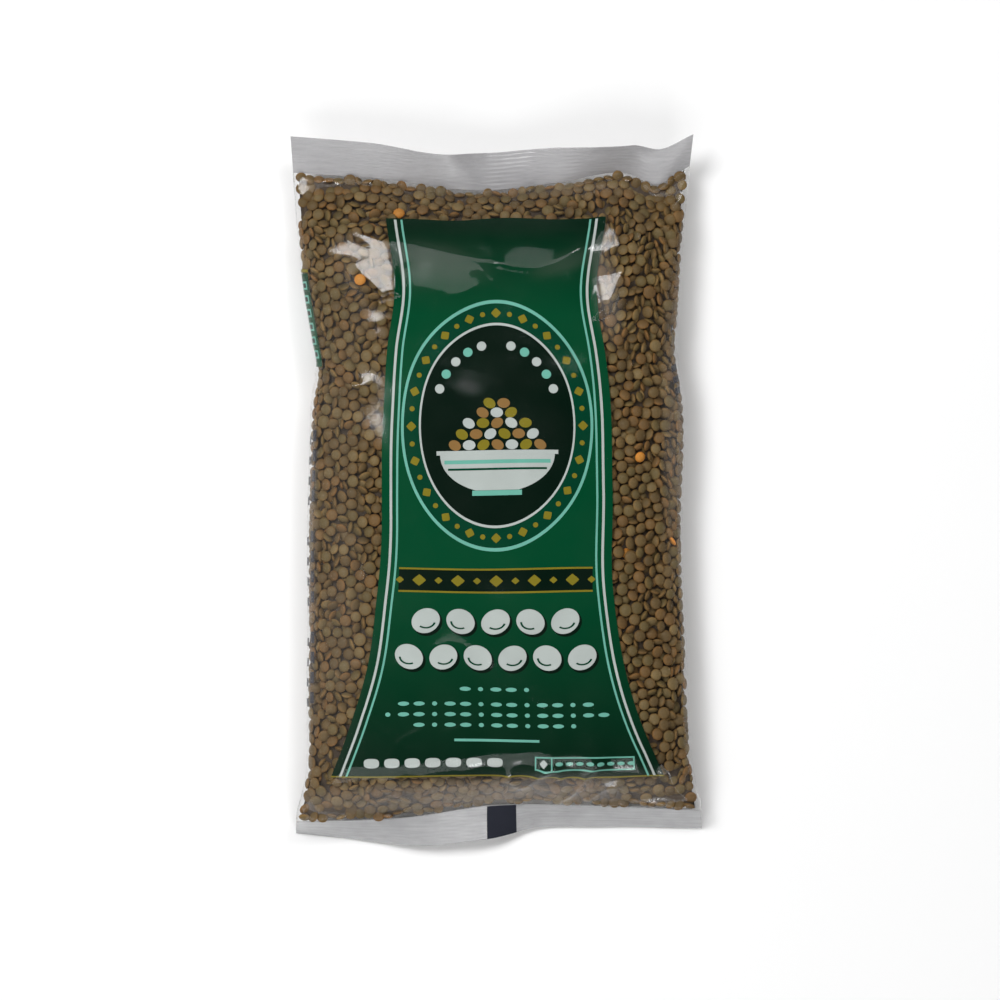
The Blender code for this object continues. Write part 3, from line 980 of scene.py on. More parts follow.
def film_body(film, material):
    """The tube of film between the two seals."""
    u = np.concatenate([
        np.linspace(0, SIDE_CELLS, FRONT_STRIPS + 1)[:-1],
        np.linspace(SIDE_CELLS, 2 * SIDE_CELLS, BACK_STRIPS + 1)[:-1],
    ])
    v = np.linspace(0, film.sheet.rows, FILM_ROWS + 1)
    grid_u, grid_v = np.meshgrid(u, v, indexing="ij")
    places = film.at(grid_u, grid_v)
    made = new_object("film", places.reshape(-1, 3), grid_faces(len(u), len(v), wrap=True), material)
    # The pale patches written to the mesh: partly milky film, partly painted reflection veils.
    milk_and_sheen = np.zeros(grid_u.shape)
    front = grid_u <= SIDE_CELLS
    for (x, y), (wide, high), turn, share in MILK_AND_SHEEN_PATCHES:
        dx, dy = places[..., 0] - x, places[..., 1] - y
        a = (dx * math.cos(turn) + dy * math.sin(turn)) / wide
        b = (dy * math.cos(turn) - dx * math.sin(turn)) / high
        milk_and_sheen += share * np.exp(-((a * a + b * b) ** 1.5)) * front
    written = made.data.attributes.new("milk_and_sheen", "FLOAT", "POINT")
    written.data.foreach_set("value", milk_and_sheen.ravel().astype(np.float32))
    return made


def seal_point(side, across, outward, at_top, relief):
    """Points of a crimped seal, outward from 0 at its root to 1 at its free edge."""
    lean = np.radians(top_lean(across) if at_top else bottom_lean(across))
    root = body_point(side, across, np.full_like(across, 1.0 if at_top else 0.0))
    reach = SEAL_HEIGHT * outward
    rise = np.minimum(outward * SEAL_RIBS * 2, 1)
    rib = RIB_RELIEF * relief * np.cos(2 * math.pi * SEAL_RIBS * outward) * rise
    proud = rib + side * SEAL_GAP / 2
    away = 1 if at_top else -1
    up = root[..., 1] + away * (reach * np.cos(lean) - proud * np.sin(lean))
    height = SEAL_ROOT_HEIGHT + reach * np.sin(lean) + proud * np.cos(lean)
    lowest = 0.0003 + (side + 1) / 2 * SEAL_GAP
    return np.stack([sideways(across, up), up, np.maximum(height, lowest)], axis=-1)


def rib_relief(across, outward, start):
    """How deep the crimp's ribs are from place to place: faint, but plain near the middle."""
    wave = np.sin(9 * across + start) + 0.6 * np.sin(23 * across - 5 * outward + 2 * start)
    plain_part = np.exp(-(((across - 0.14) / 0.30) ** 4))
    return 0.25 + 0.20 * wave + 1.3 * plain_part * (0.6 + 0.4 * np.sin(31 * across + start))


def seal(name, at_top, material):
    """One crimped seal: front and back layer, joined round their free edge."""
    rows = SEAL_RIBS * ROWS_A_RIB
    outward = np.linspace(0, 1, rows + 1)
    across = np.linspace(-1, 1, SEAL_COLUMNS + 1)
    grid_a, grid_o = np.meshgrid(across, outward, indexing="ij")
    relief = rib_relief(grid_a, grid_o, 1.3 if at_top else 4.0)
    front = seal_point(1.0, grid_a, grid_o, at_top, relief)
    back = seal_point(-1.0, grid_a, grid_o, at_top, relief)
    loop = np.concatenate([front, back[:, ::-1]], axis=1)
    faces = grid_faces(*loop.shape[:2])
    made = new_object(name, loop.reshape(-1, 3), faces if at_top else faces[:, ::-1], material)
    return made


def painted_shade_core(sheet, material):
    """A dark sheet behind the lentils that show: painted shade where the gaps between them open onto the
    deeper, shaded lentils.
    """
    v = np.arange(CORE_STEP // 2, sheet.rows - 4, CORE_STEP)
    u = np.arange(0, sheet.columns, CORE_STEP)
    grid_u, grid_v = np.meshgrid(u, v, indexing="ij")
    depth = np.minimum(CORE_DEPTH, CORE_DEPTH_SHARE * sampled(sheet.depth, grid_u, grid_v))
    places = sampled(sheet.place, grid_u, grid_v) - sampled(sheet.normal, grid_u, grid_v) * depth[..., None]
    return new_object("painted_shade_core", places.reshape(-1, 3), grid_faces(len(u), len(v), wrap=True), material)


# The generic print, seen from the front. Places are (x, y), from the middle of the bag.
PRINT_MIDDLE = 0.0006
PANEL_SIDES = (
    (-0.1228, 0.0715),
    (-0.1000, 0.0622),
    (-0.0750, 0.0548),
    (-0.0450, 0.0505),
    (0.0000, 0.0492),
    (0.0300, 0.0490),
    (0.0600, 0.0464),
    (0.0850, 0.0432),
    (0.1170, 0.0470),
)
PRINT_LIFTS = {"base": -0.00022, "field": -0.00017, "shape": -0.00012, "mark": -0.00008, "top": -0.00004}
PRINT_STEP = 0.0010
OVAL_MIDDLE = 0.0275
OVAL = (0.0412, 0.0535)
BEADS = 40


panel_half_width = curve_through(PANEL_SIDES)


def sloped_field(low, high, left, right, step=PRINT_STEP):
    """A grid of places between two heights, whose left and right sides are functions of the height."""
    rows = max(int((high - low) / step), 1)
    y = np.linspace(low, high, rows + 1)
    wide = np.max(np.abs(right(y) - left(y)))
    share = np.linspace(0, 1, max(int(wide / step), 1) + 1)[:, None]
    x = left(y)[None] * (1 - share) + right(y)[None] * share
    return np.stack([x, np.broadcast_to(y, x.shape)], axis=-1)


def upright_field(left, right, low, high):
    """A rectangle between its sides and its ends."""
    return sloped_field(low, high, lambda up: np.full_like(up, left), lambda up: np.full_like(up, right))


def bar(x, y, width, height):
    """A rectangle about (x, y)."""
    return upright_field(x - width / 2, x + width / 2, y - height / 2, y + height / 2)


def disc(x, y, wide, high, turn=0.0, power=2.0, count=None):
    """A round, oval or diamond field about (x, y): power 2 is round and 1 is a diamond."""
    count = count or int(np.clip(2 * max(wide, high) / PRINT_STEP, 4, 90))
    s, t = np.meshgrid(np.linspace(-1, 1, count + 1), np.linspace(-1, 1, count + 1), indexing="ij")
    a, b = s * np.sqrt(1 - t * t / 2), t * np.sqrt(1 - s * s / 2)
    if power != 2.0:
        size = np.maximum(np.hypot(a, b), 1e-9)
        edge = np.maximum(np.abs(a / size) ** power + np.abs(b / size) ** power, 0.1) ** (-1 / power)
        a, b = a * edge, b * edge
    a, b = a * wide, b * high
    cos, sin = math.cos(turn), math.sin(turn)
    return np.stack([x + a * cos - b * sin, y + a * sin + b * cos], axis=-1)


def ring(x, y, wide, high, inner, start=0.0, stop=2 * math.pi):
    """A band of an oval, from its share inner of the size out to the full size."""
    length = (stop - start) * max(wide, high)
    angle = np.linspace(start, stop, int(length / PRINT_STEP) + 4)
    across = max(int((1 - inner) * min(wide, high) / PRINT_STEP), 1)
    share = np.linspace(inner, 1, across + 1)[:, None]
    return np.stack([x + wide * share * np.cos(angle), y + high * share * np.sin(angle)], axis=-1)


# The dip of the print near the top, where the film sags between its creases.
DIP_MIDDLE, DIP_WIDTH, DIP_DEPTH = -0.016, 0.017, 0.0022
DIP_START, DIP_RISE = 0.045, 0.06


class Print:
    """Fields of ink just inside the film, gathered by colour."""

    def __init__(self, film):
        self.film = film
        self.fields = {}
        self.cell = float(film.sheet.size_u[:, film.sheet.rows // 2].mean())

    def front(self, colour, level, grid):
        """Adds a grid of places seen on the front."""
        self.fields.setdefault(colour, []).append((grid, level, False))

    def wrapped(self, colour, level, grid):
        """Adds a grid of places on the unrolled sheet: metres round from the left edge, metres up."""
        self.fields.setdefault(colour, []).append((grid, level, True))

    def cells(self, grid, on_sheet):
        """The places of a grid in cells of the sheet, carried out of true as the film is on the front."""
        if not on_sheet:
            x, y = grid[..., 0], grid[..., 1]
            high = np.clip((y - DIP_START) / DIP_RISE, 0, 1)
            dip = -DIP_DEPTH * np.exp(-(((x - DIP_MIDDLE) / DIP_WIDTH) ** 2))
            dip = dip + 0.0008 * np.sin(x / 0.012 + 2.0)
            sway = 0.0004 * np.sin(y / 0.024 + 1.0) + 0.0002 * np.sin(y / 0.009 + x / 0.02)
            lift = 0.0004 * np.sin(x / 0.016 + y / 0.03)
            return self.film.from_front(x + sway, y + dip * high + lift)
        sheet = self.film.sheet
        u = grid[..., 0] / self.cell
        v = np.interp(grid[..., 1], sheet.place[SIDE_CELLS // 2, :, 1], np.arange(sheet.rows + 1))
        return u, v

    def pieces(self, materials):
        made = []
        for colour, fields in self.fields.items():
            vertices, faces, start = [], [], 0
            for grid, level, on_sheet in fields:
                u, v = self.cells(grid, on_sheet)
                places = self.film.at(u, v, PRINT_LIFTS[level])
                vertices.append(places.reshape(-1, 3))
                faces.append(grid_faces(*grid.shape[:2]) + start)
                start += grid.shape[0] * grid.shape[1]
            made.append(new_object("print_" + colour, np.concatenate(vertices), np.concatenate(faces),
                                   materials[colour]))
        return made


def green_panel(ink):
    """The flared green panel with its double side lines and a thin gold rule at its foot."""
    middle = PRINT_MIDDLE
    top, bottom = PANEL_SIDES[-1][0], PANEL_SIDES[0][0]
    ink.front("green", "base", sloped_field(
        bottom, top, lambda y: middle - panel_half_width(y), lambda y: middle + panel_half_width(y), 0.0015))
    for inset, width, colour in ((0.0034, 0.0011, "white"), (0.0062, 0.0009, "mint")):
        for hand in (-1, 1):
            def edge(y, away):
                return middle + hand * (panel_half_width(y) - away)

            near, far = (inset, inset + width) if hand < 0 else (inset + width, inset)
            ink.front(colour, "mark", sloped_field(
                bottom + 0.0006, top - 0.0006, lambda y: edge(y, near), lambda y: edge(y, far)))
    low = bottom + 0.0004
    ink.front("gold", "field", bar(middle, low, 2 * panel_half_width(low), 0.0006))


def oval_badge(ink):
    """An upright oval with a ring of beads, round a plain bowl of discs."""
    x, y = PRINT_MIDDLE, OVAL_MIDDLE
    wide, high = OVAL
    ink.front("mid_green", "field", ring(x, y, wide, high, 0.80))
    ink.front("dark_green", "field", disc(x, y, wide * 0.80, high * 0.80))
    ink.front("mint", "mark", ring(x, y, wide, high, 0.972))
    ink.front("white", "mark", ring(x, y, wide * 0.815, high * 0.815, 0.975))
    for k in range(BEADS):
        angle = 2 * math.pi * k / BEADS
        at = x + 0.894 * wide * math.cos(angle), y + 0.894 * high * math.sin(angle)
        large = k % 2 == 0
        size = 0.0021 if large else 0.0011
        ink.front("gold", "mark", disc(*at, size, size, turn=angle, power=1.15 if large else 2.0, count=6))
    bowl(ink, x, y - 0.0120)
    for hand in (-1, 1):
        for step in range(5):
            angle = math.pi / 2 + hand * (0.24 + 0.235 * step)
            at = x + 0.0262 * math.cos(angle), y + 0.004 + 0.0305 * math.sin(angle)
            ink.front("mint" if step % 2 else "white", "mark", disc(*at, 0.0020, 0.0020, count=5))


def bowl(ink, x, y):
    """A plain bowl heaped with discs."""
    heap = ((7, 0.0036), (6, 0.0082), (5, 0.0128), (3, 0.0172), (2, 0.0212))
    for row, (count, rise) in enumerate(heap):
        for k in range(count):
            at = x + (k - (count - 1) / 2) * 0.0061, y + rise
            colour = ("tan", "gold", "white")[(2 * k + row) % 3]
            ink.front(colour, "mark", disc(*at, 0.0027, 0.0021, turn=0.5 * (k % 3 - 1), count=6))
    depth = 0.0155
    side = sloped_field(-depth, 0.0, lambda t: -0.0245 * np.sqrt(1 - (t / depth) ** 2 * 0.86),
                        lambda t: 0.0245 * np.sqrt(1 - (t / depth) ** 2 * 0.86))
    ink.front("white", "shape", side + np.array([x, y]))
    ink.front("mint", "mark", bar(x, y - 0.0035, 0.0452, 0.0016))
    ink.front("mid_green", "mark", bar(x, y - 0.0066, 0.0420, 0.0009))
    ink.front("white", "mark", bar(x, y + 0.0004, 0.0520, 0.0018))
    ink.front("mint", "mark", bar(x, y - depth - 0.0012, 0.0210, 0.0022))


def banded_rule(ink, y):
    """A dark band across the panel with gold rules and a row of diamonds."""
    half = panel_half_width(y) - 0.0085
    ink.front("dark_green", "field", bar(PRINT_MIDDLE, y, 2 * half, 0.0104))
    for hand in (-1, 1):
        ink.front("gold", "mark", bar(PRINT_MIDDLE, y + hand * 0.0049, 2 * half, 0.0008))
    for k in range(-5, 6):
        size = 0.0029 if k % 2 == 0 else 0.0017
        ink.front("gold", "mark", disc(PRINT_MIDDLE + k * 0.0082, y, size, size * 0.85, power=1.1, count=6))


def along_row(k, count, pitch):
    """The place of one motif in a row that is centred on the panel."""
    return PRINT_MIDDLE + (k - (count - 1) / 2) * pitch


def seed_rows(ink):
    """Two rows of large pale discs, each with a crescent, over dark shadows."""
    for count, y in ((5, -0.0560), (6, -0.0715)):
        for k in range(count):
            x = along_row(k, count, 0.0148)
            turn = 0.45 * (1 if (k + count) % 2 else -1)
            ink.front("dark_green", "field", disc(x + 0.0009, y - 0.0010, 0.0064, 0.0054, turn, count=14))
            ink.front("white", "mark", disc(x, y, 0.0062, 0.0052, turn, count=14))
            ink.front("mid_green", "top", ring(x, y, 0.0044, 0.0034, 0.80, turn + 3.6, turn + 5.6))


def small_rows(ink):
    """Rows of small lozenges low on the panel, a row of bars and an outlined box."""
    for count, y in ((5, -0.0850), (13, -0.0915), (15, -0.0960), (11, -0.1005)):
        for k in range(count):
            x = along_row(k, count, 0.0066)
            wide = 0.0024 if (k + count) % 3 else 0.0011
            ink.front("mint", "mark", disc(x, y, wide, 0.0009, count=5))
    ink.front("mint", "mark", bar(PRINT_MIDDLE, -0.1070, 0.0360, 0.0011))
    for k in range(7):
        ink.front("white", "mark", disc(-0.0530 + 0.0088 * k, -0.1166, 0.0033, 0.0020, power=3.0, count=6))
    left, right, low, high = 0.0170, 0.0590, -0.1192, -0.1140
    line = 0.0006
    for y in (low, high):
        ink.front("mint", "mark", bar((left + right) / 2, y, right - left + line, line))
    for x in (left, left + 0.0068, right):
        ink.front("mint", "mark", bar(x, (low + high) / 2, line, high - low))
    ink.front("white", "mark", disc(left + 0.0034, (low + high) / 2, 0.0017, 0.0017, power=1.1, count=5))
    for k in range(8):
        ink.front("mint", "mark", disc(left + 0.0100 + 0.0044 * k, (low + high) / 2, 0.0016, 0.0008, count=5))


def side_marks(ink):
    """What wraps round from the back: a short green field on the left edge and rows of dark dashes."""
    ink.wrapped("green", "base", upright_field(-0.0120, 0.0066, 0.0500, 0.0880))
    ink.wrapped("gold", "field", upright_field(-0.0120, 0.0068, 0.0884, 0.0896))
    for k in range(6):
        y = 0.0830 - 0.0056 * k
        ink.wrapped("mint", "field", bar(0.0032, y, 0.0040, 0.0034))
        ink.wrapped("dark_green", "mark", bar(0.0032, y, 0.0026, 0.0018))
    for k in range(15):
        if k % 5 != 4:
            y = 0.0220 - 0.0082 * k
            ink.wrapped("eye_mark", "base", bar(0.0062, y, 0.0022, 0.0046))
            ink.wrapped("eye_mark", "base", bar(0.0020, y - 0.0020, 0.0030, 0.0034))
    right_edge_round = SIDE_CELLS * ink.cell
    for k in range(3):
        ink.wrapped("eye_mark", "base", bar(right_edge_round - 0.0060, 0.0470 - 0.0046 * k, 0.0040, 0.0026))


def back_panels(ink):
    """Two plain panels on the back, one each side of the fin seam."""
    for around in (0.2150, 0.3050):
        ink.wrapped("green", "base", upright_field(around - 0.0240, around + 0.0240, -0.0900, 0.0900))
        for shift in (-0.0215, 0.0215):
            ink.wrapped("mint", "mark", bar(around + shift, 0.0, 0.0008, 0.1740))
        for row in range(14):
            wide = 0.030 if row % 3 else 0.022
            ink.wrapped("white", "mark", bar(around, 0.060 - 0.009 * row, wide, 0.0014))


# Colours as linear light, named for what they cover.
LENTIL_KINDS = (
    ("brown", 0.23, (0.136, 0.090, 0.037)),
    ("umber", 0.21, (0.115, 0.076, 0.032)),
    ("olive", 0.22, (0.127, 0.092, 0.038)),
    ("tan", 0.18, (0.168, 0.119, 0.052)),
    ("russet", 0.16, (0.152, 0.089, 0.034)),
)
ORANGE_COLOUR = (0.50, 0.215, 0.040)
ORANGE_PLACES = ((-0.0434, 0.1230), (-0.0610, 0.0886), (0.0628, 0.0189))
ORANGE_STRAYS = 5
INKS = {
    "green": (0.001, 0.016, 0.007),
    "mid_green": (0.000, 0.042, 0.019),
    "dark_green": (0.001, 0.008, 0.004),
    "mint": (0.14, 0.40, 0.32),
    "white": (0.42, 0.46, 0.44),
    "gold": (0.20, 0.165, 0.016),
    "tan": (0.24, 0.135, 0.045),
    "eye_mark": (0.024, 0.026, 0.036),
}


class Nodes:
    """Short ways to add shader nodes to a new material."""

    def __init__(self, name):
        self.material = bpy.data.materials.new(name)
        self.material.use_nodes = True
        self.tree = self.material.node_tree
        self.tree.nodes.clear()
        self.output = self.tree.nodes.new("ShaderNodeOutputMaterial")

    def add(self, kind, inputs=(), **settings):
        node = self.tree.nodes.new(kind)
        for name, value in settings.items():
            setattr(node, name, value)
        for name, value in dict(inputs).items():
            if isinstance(value, bpy.types.NodeSocket):
                self.tree.links.new(value, node.inputs[name])
            else:
                node.inputs[name].default_value = value
        return node

    def maths(self, operation, *values, clamp=False):
        node = self.add("ShaderNodeMath", enumerate(values), operation=operation, use_clamp=clamp)
        return node.outputs[0]

    def noise(self, scale, detail=2.0):
        place = self.add("ShaderNodeTexCoord").outputs["Object"]
        node = self.add("ShaderNodeTexNoise", {"Vector": place, "Scale": scale, "Detail": detail})
        return node.outputs["Fac"]

    def attribute(self, name):
        return self.add("ShaderNodeAttribute", attribute_name=name).outputs["Fac"]

    def between(self, share, first, second):
        """A colour between two colours or colour sockets."""
        node = self.add("ShaderNodeMix", data_type="RGBA")
        for index, value in ((0, share), (6, first), (7, second)):
            if isinstance(value, bpy.types.NodeSocket):
                self.tree.links.new(value, node.inputs[index])
            else:
                node.inputs[index].default_value = value if index == 0 else (*value, 1.0)
        return node.outputs[2]

    def bump(self, height, distance):
        node = self.add("ShaderNodeBump", {"Height": height, "Distance": distance, "Strength": 1.0})
        return node.outputs[0]

    def finish(self, shader):
        self.tree.links.new(shader.outputs[0], self.output.inputs["Surface"])
        return self.material


def scaled(colour, factor):
    return tuple(factor * channel for channel in colour)


def lentil_material(name, colour):
    """A dry seed's skin: its own tone, fine mottling and a paler rim."""
    n = Nodes(name)
    tone = n.maths("MULTIPLY_ADD", n.attribute("tone"), 0.16, 0.5, clamp=True)
    skin = n.between(tone, scaled(colour, 0.72), scaled(colour, 1.28))
    speckle = n.maths("MULTIPLY_ADD", n.noise(1500.0, 3.0), 2.4, -0.9, clamp=True)
    skin = n.between(n.maths("MULTIPLY", speckle, 0.45), skin, scaled(colour, 0.55))
    rim = n.maths("POWER", n.attribute("rim"), 5.0)
    pale = (colour[0] * 1.45, colour[1] * 1.15, colour[2] * 0.75)
    skin = n.between(n.maths("MULTIPLY", rim, 0.70), skin, pale)
    shader = n.add("ShaderNodeBsdfPrincipled", {
        "Base Color": skin,
        "Roughness": n.maths("MULTIPLY_ADD", speckle, 0.12, 0.52),
        "Normal": n.bump(n.noise(2600.0, 2.0), 0.00006),
        "Specular IOR Level": 0.16,
    })
    return n.finish(shader)


def painted_shade_material():
    """The shade between lentils."""
    n = Nodes("shade")
    colour = n.between(n.noise(400.0), (0.030, 0.019, 0.011), (0.060, 0.038, 0.020))
    shader = n.add("ShaderNodeBsdfPrincipled", {
        "Base Color": colour, "Roughness": 0.8, "Normal": n.bump(n.noise(300.0, 4.0), 0.0008)})
    return n.finish(shader)


def ink_material(name, colour):
    """Ink behind the film, a little uneven; the large green field is lighter in the middle and darker towards
    both ends, painted shade where the bag's ends turn from the light.
    """
    n = Nodes(name)
    uneven = n.maths("MULTIPLY_ADD", n.noise(60.0, 4.0), 1.2, -0.1, clamp=True)
    skin = n.between(uneven, scaled(colour, 0.86), scaled(colour, 1.12))
    if name == "print_green":
        # Painted shade: the green field is lighter in a middle band and darker towards the top and the foot.
        up = n.add("ShaderNodeSeparateXYZ", {0: n.add("ShaderNodeTexCoord").outputs["Object"]}).outputs[1]
        from_top = n.maths("MULTIPLY_ADD", up, -26.0, 2.95, clamp=True)
        from_foot = n.maths("MULTIPLY_ADD", up, 12.5, 1.45, clamp=True)
        painted_lit_band = n.maths("MULTIPLY", from_top, from_foot)
        skin = n.between(painted_lit_band, colour, (0.000, 0.055, 0.020))
    shader = n.add("ShaderNodeBsdfPrincipled", {
        "Base Color": skin,
        "Roughness": n.maths("MULTIPLY_ADD", uneven, 0.15, 0.50),
        "Normal": n.bump(n.noise(900.0, 3.0), 0.00004),
        "Specular IOR Level": 0.02,
    })
    return n.finish(shader)


# The films: milky colour, least and most milky share, scale of the clouds, roughness, index of
# refraction and the depth of fine scratches.
FILMS = {
    "clear_film": dict(
        # On the clear film the milky colour shows mostly in the mesh's pale patches, as painted reflection.
        colour=(0.80, 0.74, 0.69), milk_and_sheen=(0.0, 0.003), cloud=45.0, roughness=0.09, index=1.38, sheen_patched=True),
    "top_seal_film": dict(
        colour=(0.35, 0.345, 0.355), milk_and_sheen=(0.66, 0.80), cloud=90.0, roughness=0.20, index=1.45,
        scratched=0.0002),
    # The bottom seal's film is the top seal's crimped film with a lighter milky colour: painted light for the
    # brighter sheen it shows.
    "bottom_seal_film": dict(
        colour=(0.47, 0.47, 0.48), milk_and_sheen=(0.62, 0.84), cloud=90.0, roughness=0.18, index=1.45,
        scratched=0.0003),
    "fin_film": dict(colour=(0.55, 0.55, 0.57), milk_and_sheen=(0.15, 0.28), cloud=90.0, roughness=0.18, index=1.60),
}
SCRATCH_SLANT = 0.10
SCRATCH_STRETCH = 0.06


def clear_film(name, colour, milk_and_sheen, cloud, roughness, index, sheen_patched=False, scratched=0.0):
    """Glossy film that light passes through, with an uneven milky share, more where the mesh says so; that
    extra share is partly milky film and partly painted reflection.
    """
    n = Nodes(name)
    clouds = n.maths("MULTIPLY_ADD", n.noise(cloud, 4.0), 2.2, -0.6, clamp=True)
    veil = n.maths("MULTIPLY_ADD", clouds, milk_and_sheen[1] - milk_and_sheen[0], milk_and_sheen[0])
    if sheen_patched:
        # Painted reflection: the mesh's pale patches raise the milky share where the film shows veils of
        # reflected light.
        sheen_patches = n.maths("MULTIPLY", n.attribute("milk_and_sheen"), n.maths("MULTIPLY_ADD", clouds, 0.7, 0.65))
        veil = n.maths("ADD", veil, sheen_patches, clamp=True)
    milky = n.add("ShaderNodeBsdfPrincipled", {
        "Base Color": (*colour, 1.0), "Roughness": 0.45, "Specular IOR Level": 0.3})
    through = n.add("ShaderNodeBsdfTransparent", {"Color": (1.0, 1.0, 1.0, 1.0)})
    grain = n.bump(n.noise(1400.0, 3.0), 0.00001)
    if scratched:
        place = n.add("ShaderNodeTexCoord").outputs["Object"]
        slanted = n.add("ShaderNodeMapping", {
            "Vector": place, "Rotation": (0, 0, SCRATCH_SLANT), "Scale": (SCRATCH_STRETCH, 1, 1)})
        streaks = n.add("ShaderNodeTexNoise", {"Vector": slanted.outputs[0], "Scale": 900.0, "Detail": 3.0})
        grain = n.bump(streaks.outputs["Fac"], scratched)
        veil = n.maths("MULTIPLY_ADD", streaks.outputs["Fac"], 0.5, n.maths("ADD", veil, -0.25), clamp=True)
    gloss = n.add("ShaderNodeBsdfPrincipled", {
        "Base Color": (1.0, 1.0, 1.0, 1.0),
        "Metallic": 1.0,
        "Roughness": n.maths("MULTIPLY_ADD", clouds, 0.05, roughness),
        "Normal": grain,
    })
    body = n.add("ShaderNodeMixShader", {0: veil, 1: through.outputs[0], 2: milky.outputs[0]})
    facing = n.add("ShaderNodeLayerWeight", {"Blend": 0.5}).outputs["Facing"]
    straight = ((index - 1) / (index + 1)) ** 2
    sheen = n.maths("MULTIPLY_ADD", n.maths("POWER", facing, 5.0), 1 - straight, straight)
    mixed = n.add("ShaderNodeMixShader", {0: sheen, 1: body.outputs[0], 2: gloss.outputs[0]})
    return n.finish(mixed)


def eye_mark(material):
    """A plain dark registration mark printed across the bottom seal."""
    across = np.linspace(-0.060, 0.085, 13)
    outward = np.linspace(0.02, 1.0, 25)
    grid_a, grid_o = np.meshgrid(across, outward, indexing="ij")
    relief = rib_relief(grid_a, grid_o, 4.0)
    places = seal_point(1.0, grid_a, grid_o, False, relief)
    places[..., 2] += 0.00012
    return new_object("eye_mark", places.reshape(-1, 3), grid_faces(*places.shape[:2])[:, ::-1], material)


def fin_seam(film, material):
    """The fin seam: a strip of sealed film lapped flat on the back."""
    sheet = film.sheet
    middle = 1.5 * SIDE_CELLS
    cell = float(sheet.size_u[int(middle), sheet.rows // 2])
    half = FIN_WIDTH / 2 / cell
    u = np.linspace(middle - half, middle + half, 9)
    v = np.linspace(0, sheet.rows, 200)
    grid_u, grid_v = np.meshgrid(u, v, indexing="ij")
    outer = film.at(grid_u, grid_v, FIN_LIFT)
    return new_object("fin_seam", outer.reshape(-1, 3), grid_faces(len(u), len(v)), material)


def floor(low):
    """A plain pale floor that runs off on all sides."""
    bpy.ops.mesh.primitive_grid_add(x_subdivisions=8, y_subdivisions=8, size=8.0, location=(0, 0, low))
    made = bpy.context.object
    made.name = "floor"
    n = Nodes("pale_floor")
    colour = n.between(n.noise(3.0), (0.91, 0.91, 0.91), (0.93, 0.93, 0.93))
    made.data.materials.append(n.finish(n.add("ShaderNodeBsdfPrincipled", {
        "Base Color": colour, "Roughness": 0.9, "Specular IOR Level": 0.1})))
    return made


def soft_light(name, light):
    """A rectangular soft light that faces the bag."""
    data = bpy.data.lights.new(name, "AREA")
    data.shape = "RECTANGLE"
    data.size, data.size_y = light.size
    data.energy = light.power
    made = bpy.data.objects.new(name, data)
    made.location = light.place
    made.rotation_euler = (-Vector(light.place)).to_track_quat("-Z", "Y").to_euler()
    bpy.context.scene.collection.objects.link(made)


# The camera above the bag, what it sees, and the surroundings, which fade to dark straight above.
CAMERA_HEIGHT = 2.5
PHOTO_WIDTH = 0.430
PHOTO_CENTRE = (0.00215, -0.0043)
SENSOR = 0.036
WALL_LIGHT = 0.28
WALL_FADE = (0.22, 0.60)


def studio(shift):
    """The lights, the pale surroundings and a camera straight above, as in the photo."""
    world = bpy.data.worlds.new("pale_studio")
    world.use_nodes = True
    tree = world.node_tree
    background = tree.nodes["Background"]
    background.inputs["Strength"].default_value = WALL_LIGHT
    place = tree.nodes.new("ShaderNodeTexCoord")
    split = tree.nodes.new("ShaderNodeSeparateXYZ")
    ramp = tree.nodes.new("ShaderNodeMapRange")
    for socket, value in zip(("From Min", "From Max", "To Min", "To Max"), (*WALL_FADE, 1.0, 0.0)):
        ramp.inputs[socket].default_value = value
    tree.links.new(place.outputs["Generated"], split.inputs[0])
    tree.links.new(split.outputs[2], ramp.inputs["Value"])
    tree.links.new(ramp.outputs["Result"], background.inputs["Color"])
    bpy.context.scene.world = world
    for name, light in LIGHTS.items():
        soft_light(name, light)
    data = bpy.data.cameras.new("camera")
    data.sensor_width = SENSOR * 1000
    data.lens = SENSOR * 1000 * (CAMERA_HEIGHT - EDGE_HEIGHT) / PHOTO_WIDTH
    camera = bpy.data.objects.new("camera", data)
    camera.location = (PHOTO_CENTRE[0] + shift[0], PHOTO_CENTRE[1] + shift[1], CAMERA_HEIGHT)
    bpy.context.scene.collection.objects.link(camera)
    bpy.context.scene.camera = camera
    bpy.context.scene.view_settings.view_transform = "Standard"


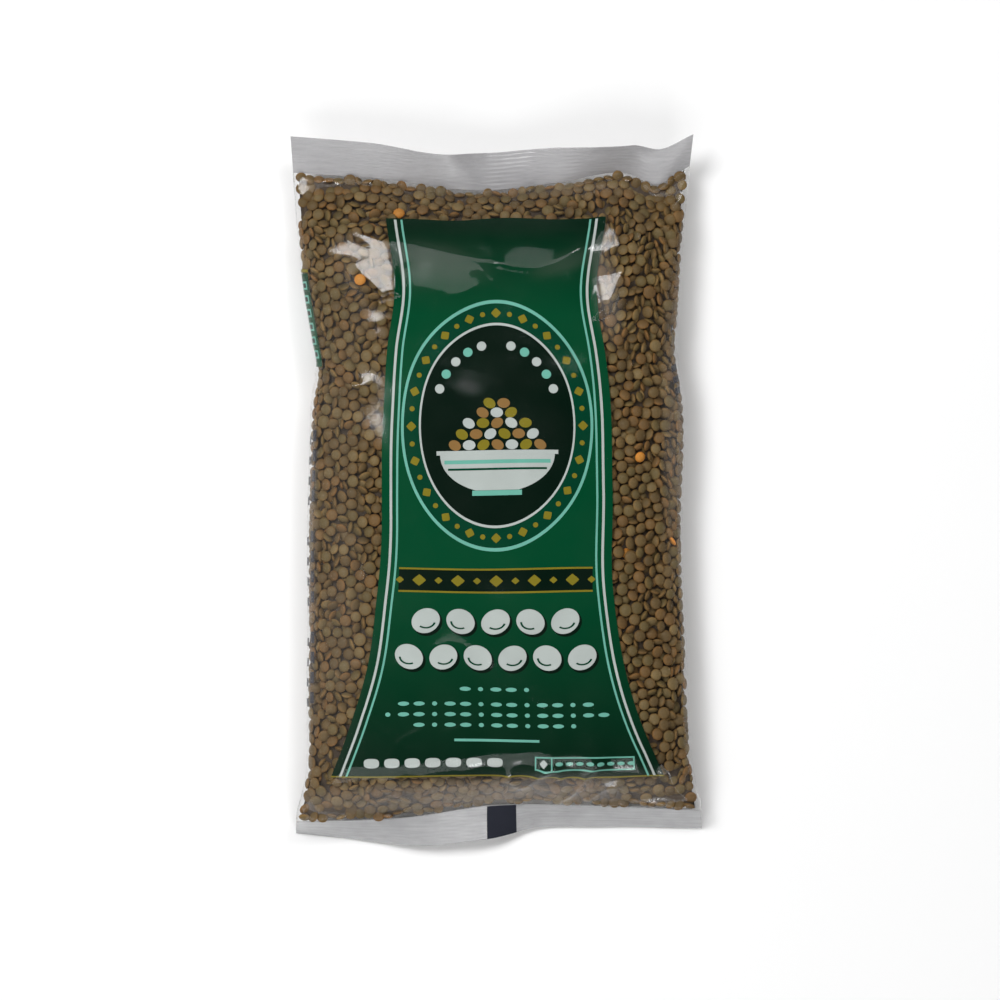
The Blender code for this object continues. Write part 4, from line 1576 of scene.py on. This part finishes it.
def lentil_pieces(filling, rng):
    """The lentils that show, joined by kind, with a few orange ones."""
    lentils = seen_lentils(filling)
    count = len(lentils.radius)
    kind = rng.choice(len(LENTIL_KINDS), count, p=[share for _, share, _ in LENTIL_KINDS])
    facing = lentils.centre[:, 2] > EDGE_HEIGHT
    for x, y in ORANGE_PLACES:
        away = np.hypot(lentils.centre[:, 0] - x, lentils.centre[:, 1] - y) + np.where(facing, 0, 1)
        away += 0.01 * ((lentils.shown < 0.93 * math.pi * lentils.radius**2) | (lentils.axis[:, 2] < 0.88))
        kind[np.argmin(away)] = len(LENTIL_KINDS)
    kind[rng.choice(count, ORANGE_STRAYS)] = len(LENTIL_KINDS)
    made = []
    for k, (name, _, colour) in enumerate(LENTIL_KINDS + (("orange", 0.0, ORANGE_COLOUR),)):
        material = lentil_material("lentil_" + name, colour)
        made.append(lentil_mesh("lentils_" + name, lentils, kind == k, rng, material))
    return made


def main():
    rng = np.random.default_rng(SEED)
    sheet = unrolled_sheet()
    filling = filled_bag(sheet, rng)
    film = Film(sheet, film_offsets(sheet, filling, rng))
    films = {name: clear_film(name, **look) for name, look in FILMS.items()}
    body = film_body(film, films["clear_film"])
    fin = fin_seam(film, films["fin_film"])
    seals = [
        seal("top_seal", True, films["top_seal_film"]),
        seal("bottom_seal", False, films["bottom_seal_film"]),
    ]
    inks = {name: ink_material("print_" + name, colour) for name, colour in INKS.items()}
    ink = Print(film)
    for draw in (green_panel, oval_badge, seed_rows, small_rows, side_marks, back_panels):
        draw(ink)
    banded_rule(ink, -0.0385)
    printed = ink.pieces(inks)
    printed.append(eye_mark(inks["eye_mark"]))
    lentils = lentil_pieces(filling, rng)
    behind = painted_shade_core(sheet, painted_shade_material())
    corners = np.array([corner for piece in seals for corner in vertex_box(piece)])
    low, high = corners.min(axis=0), corners.max(axis=0)
    shift = (-(low[0] + high[0]) / 2, -(low[1] + high[1]) / 2)
    for piece in [body, fin, behind, *seals, *printed, *lentils]:
        piece.data.transform(Matrix.Translation((*shift, 0.0)))
        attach(piece, "root")
    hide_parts(NODE)
    floor(-0.0003)
    studio(shift)


def vertex_box(piece):
    """The lowest and highest corner of a piece."""
    places = np.empty(3 * len(piece.data.vertices), dtype=np.float32)
    piece.data.vertices.foreach_get("co", places)
    places = places.reshape(-1, 3)
    return places.min(axis=0), places.max(axis=0)


main()
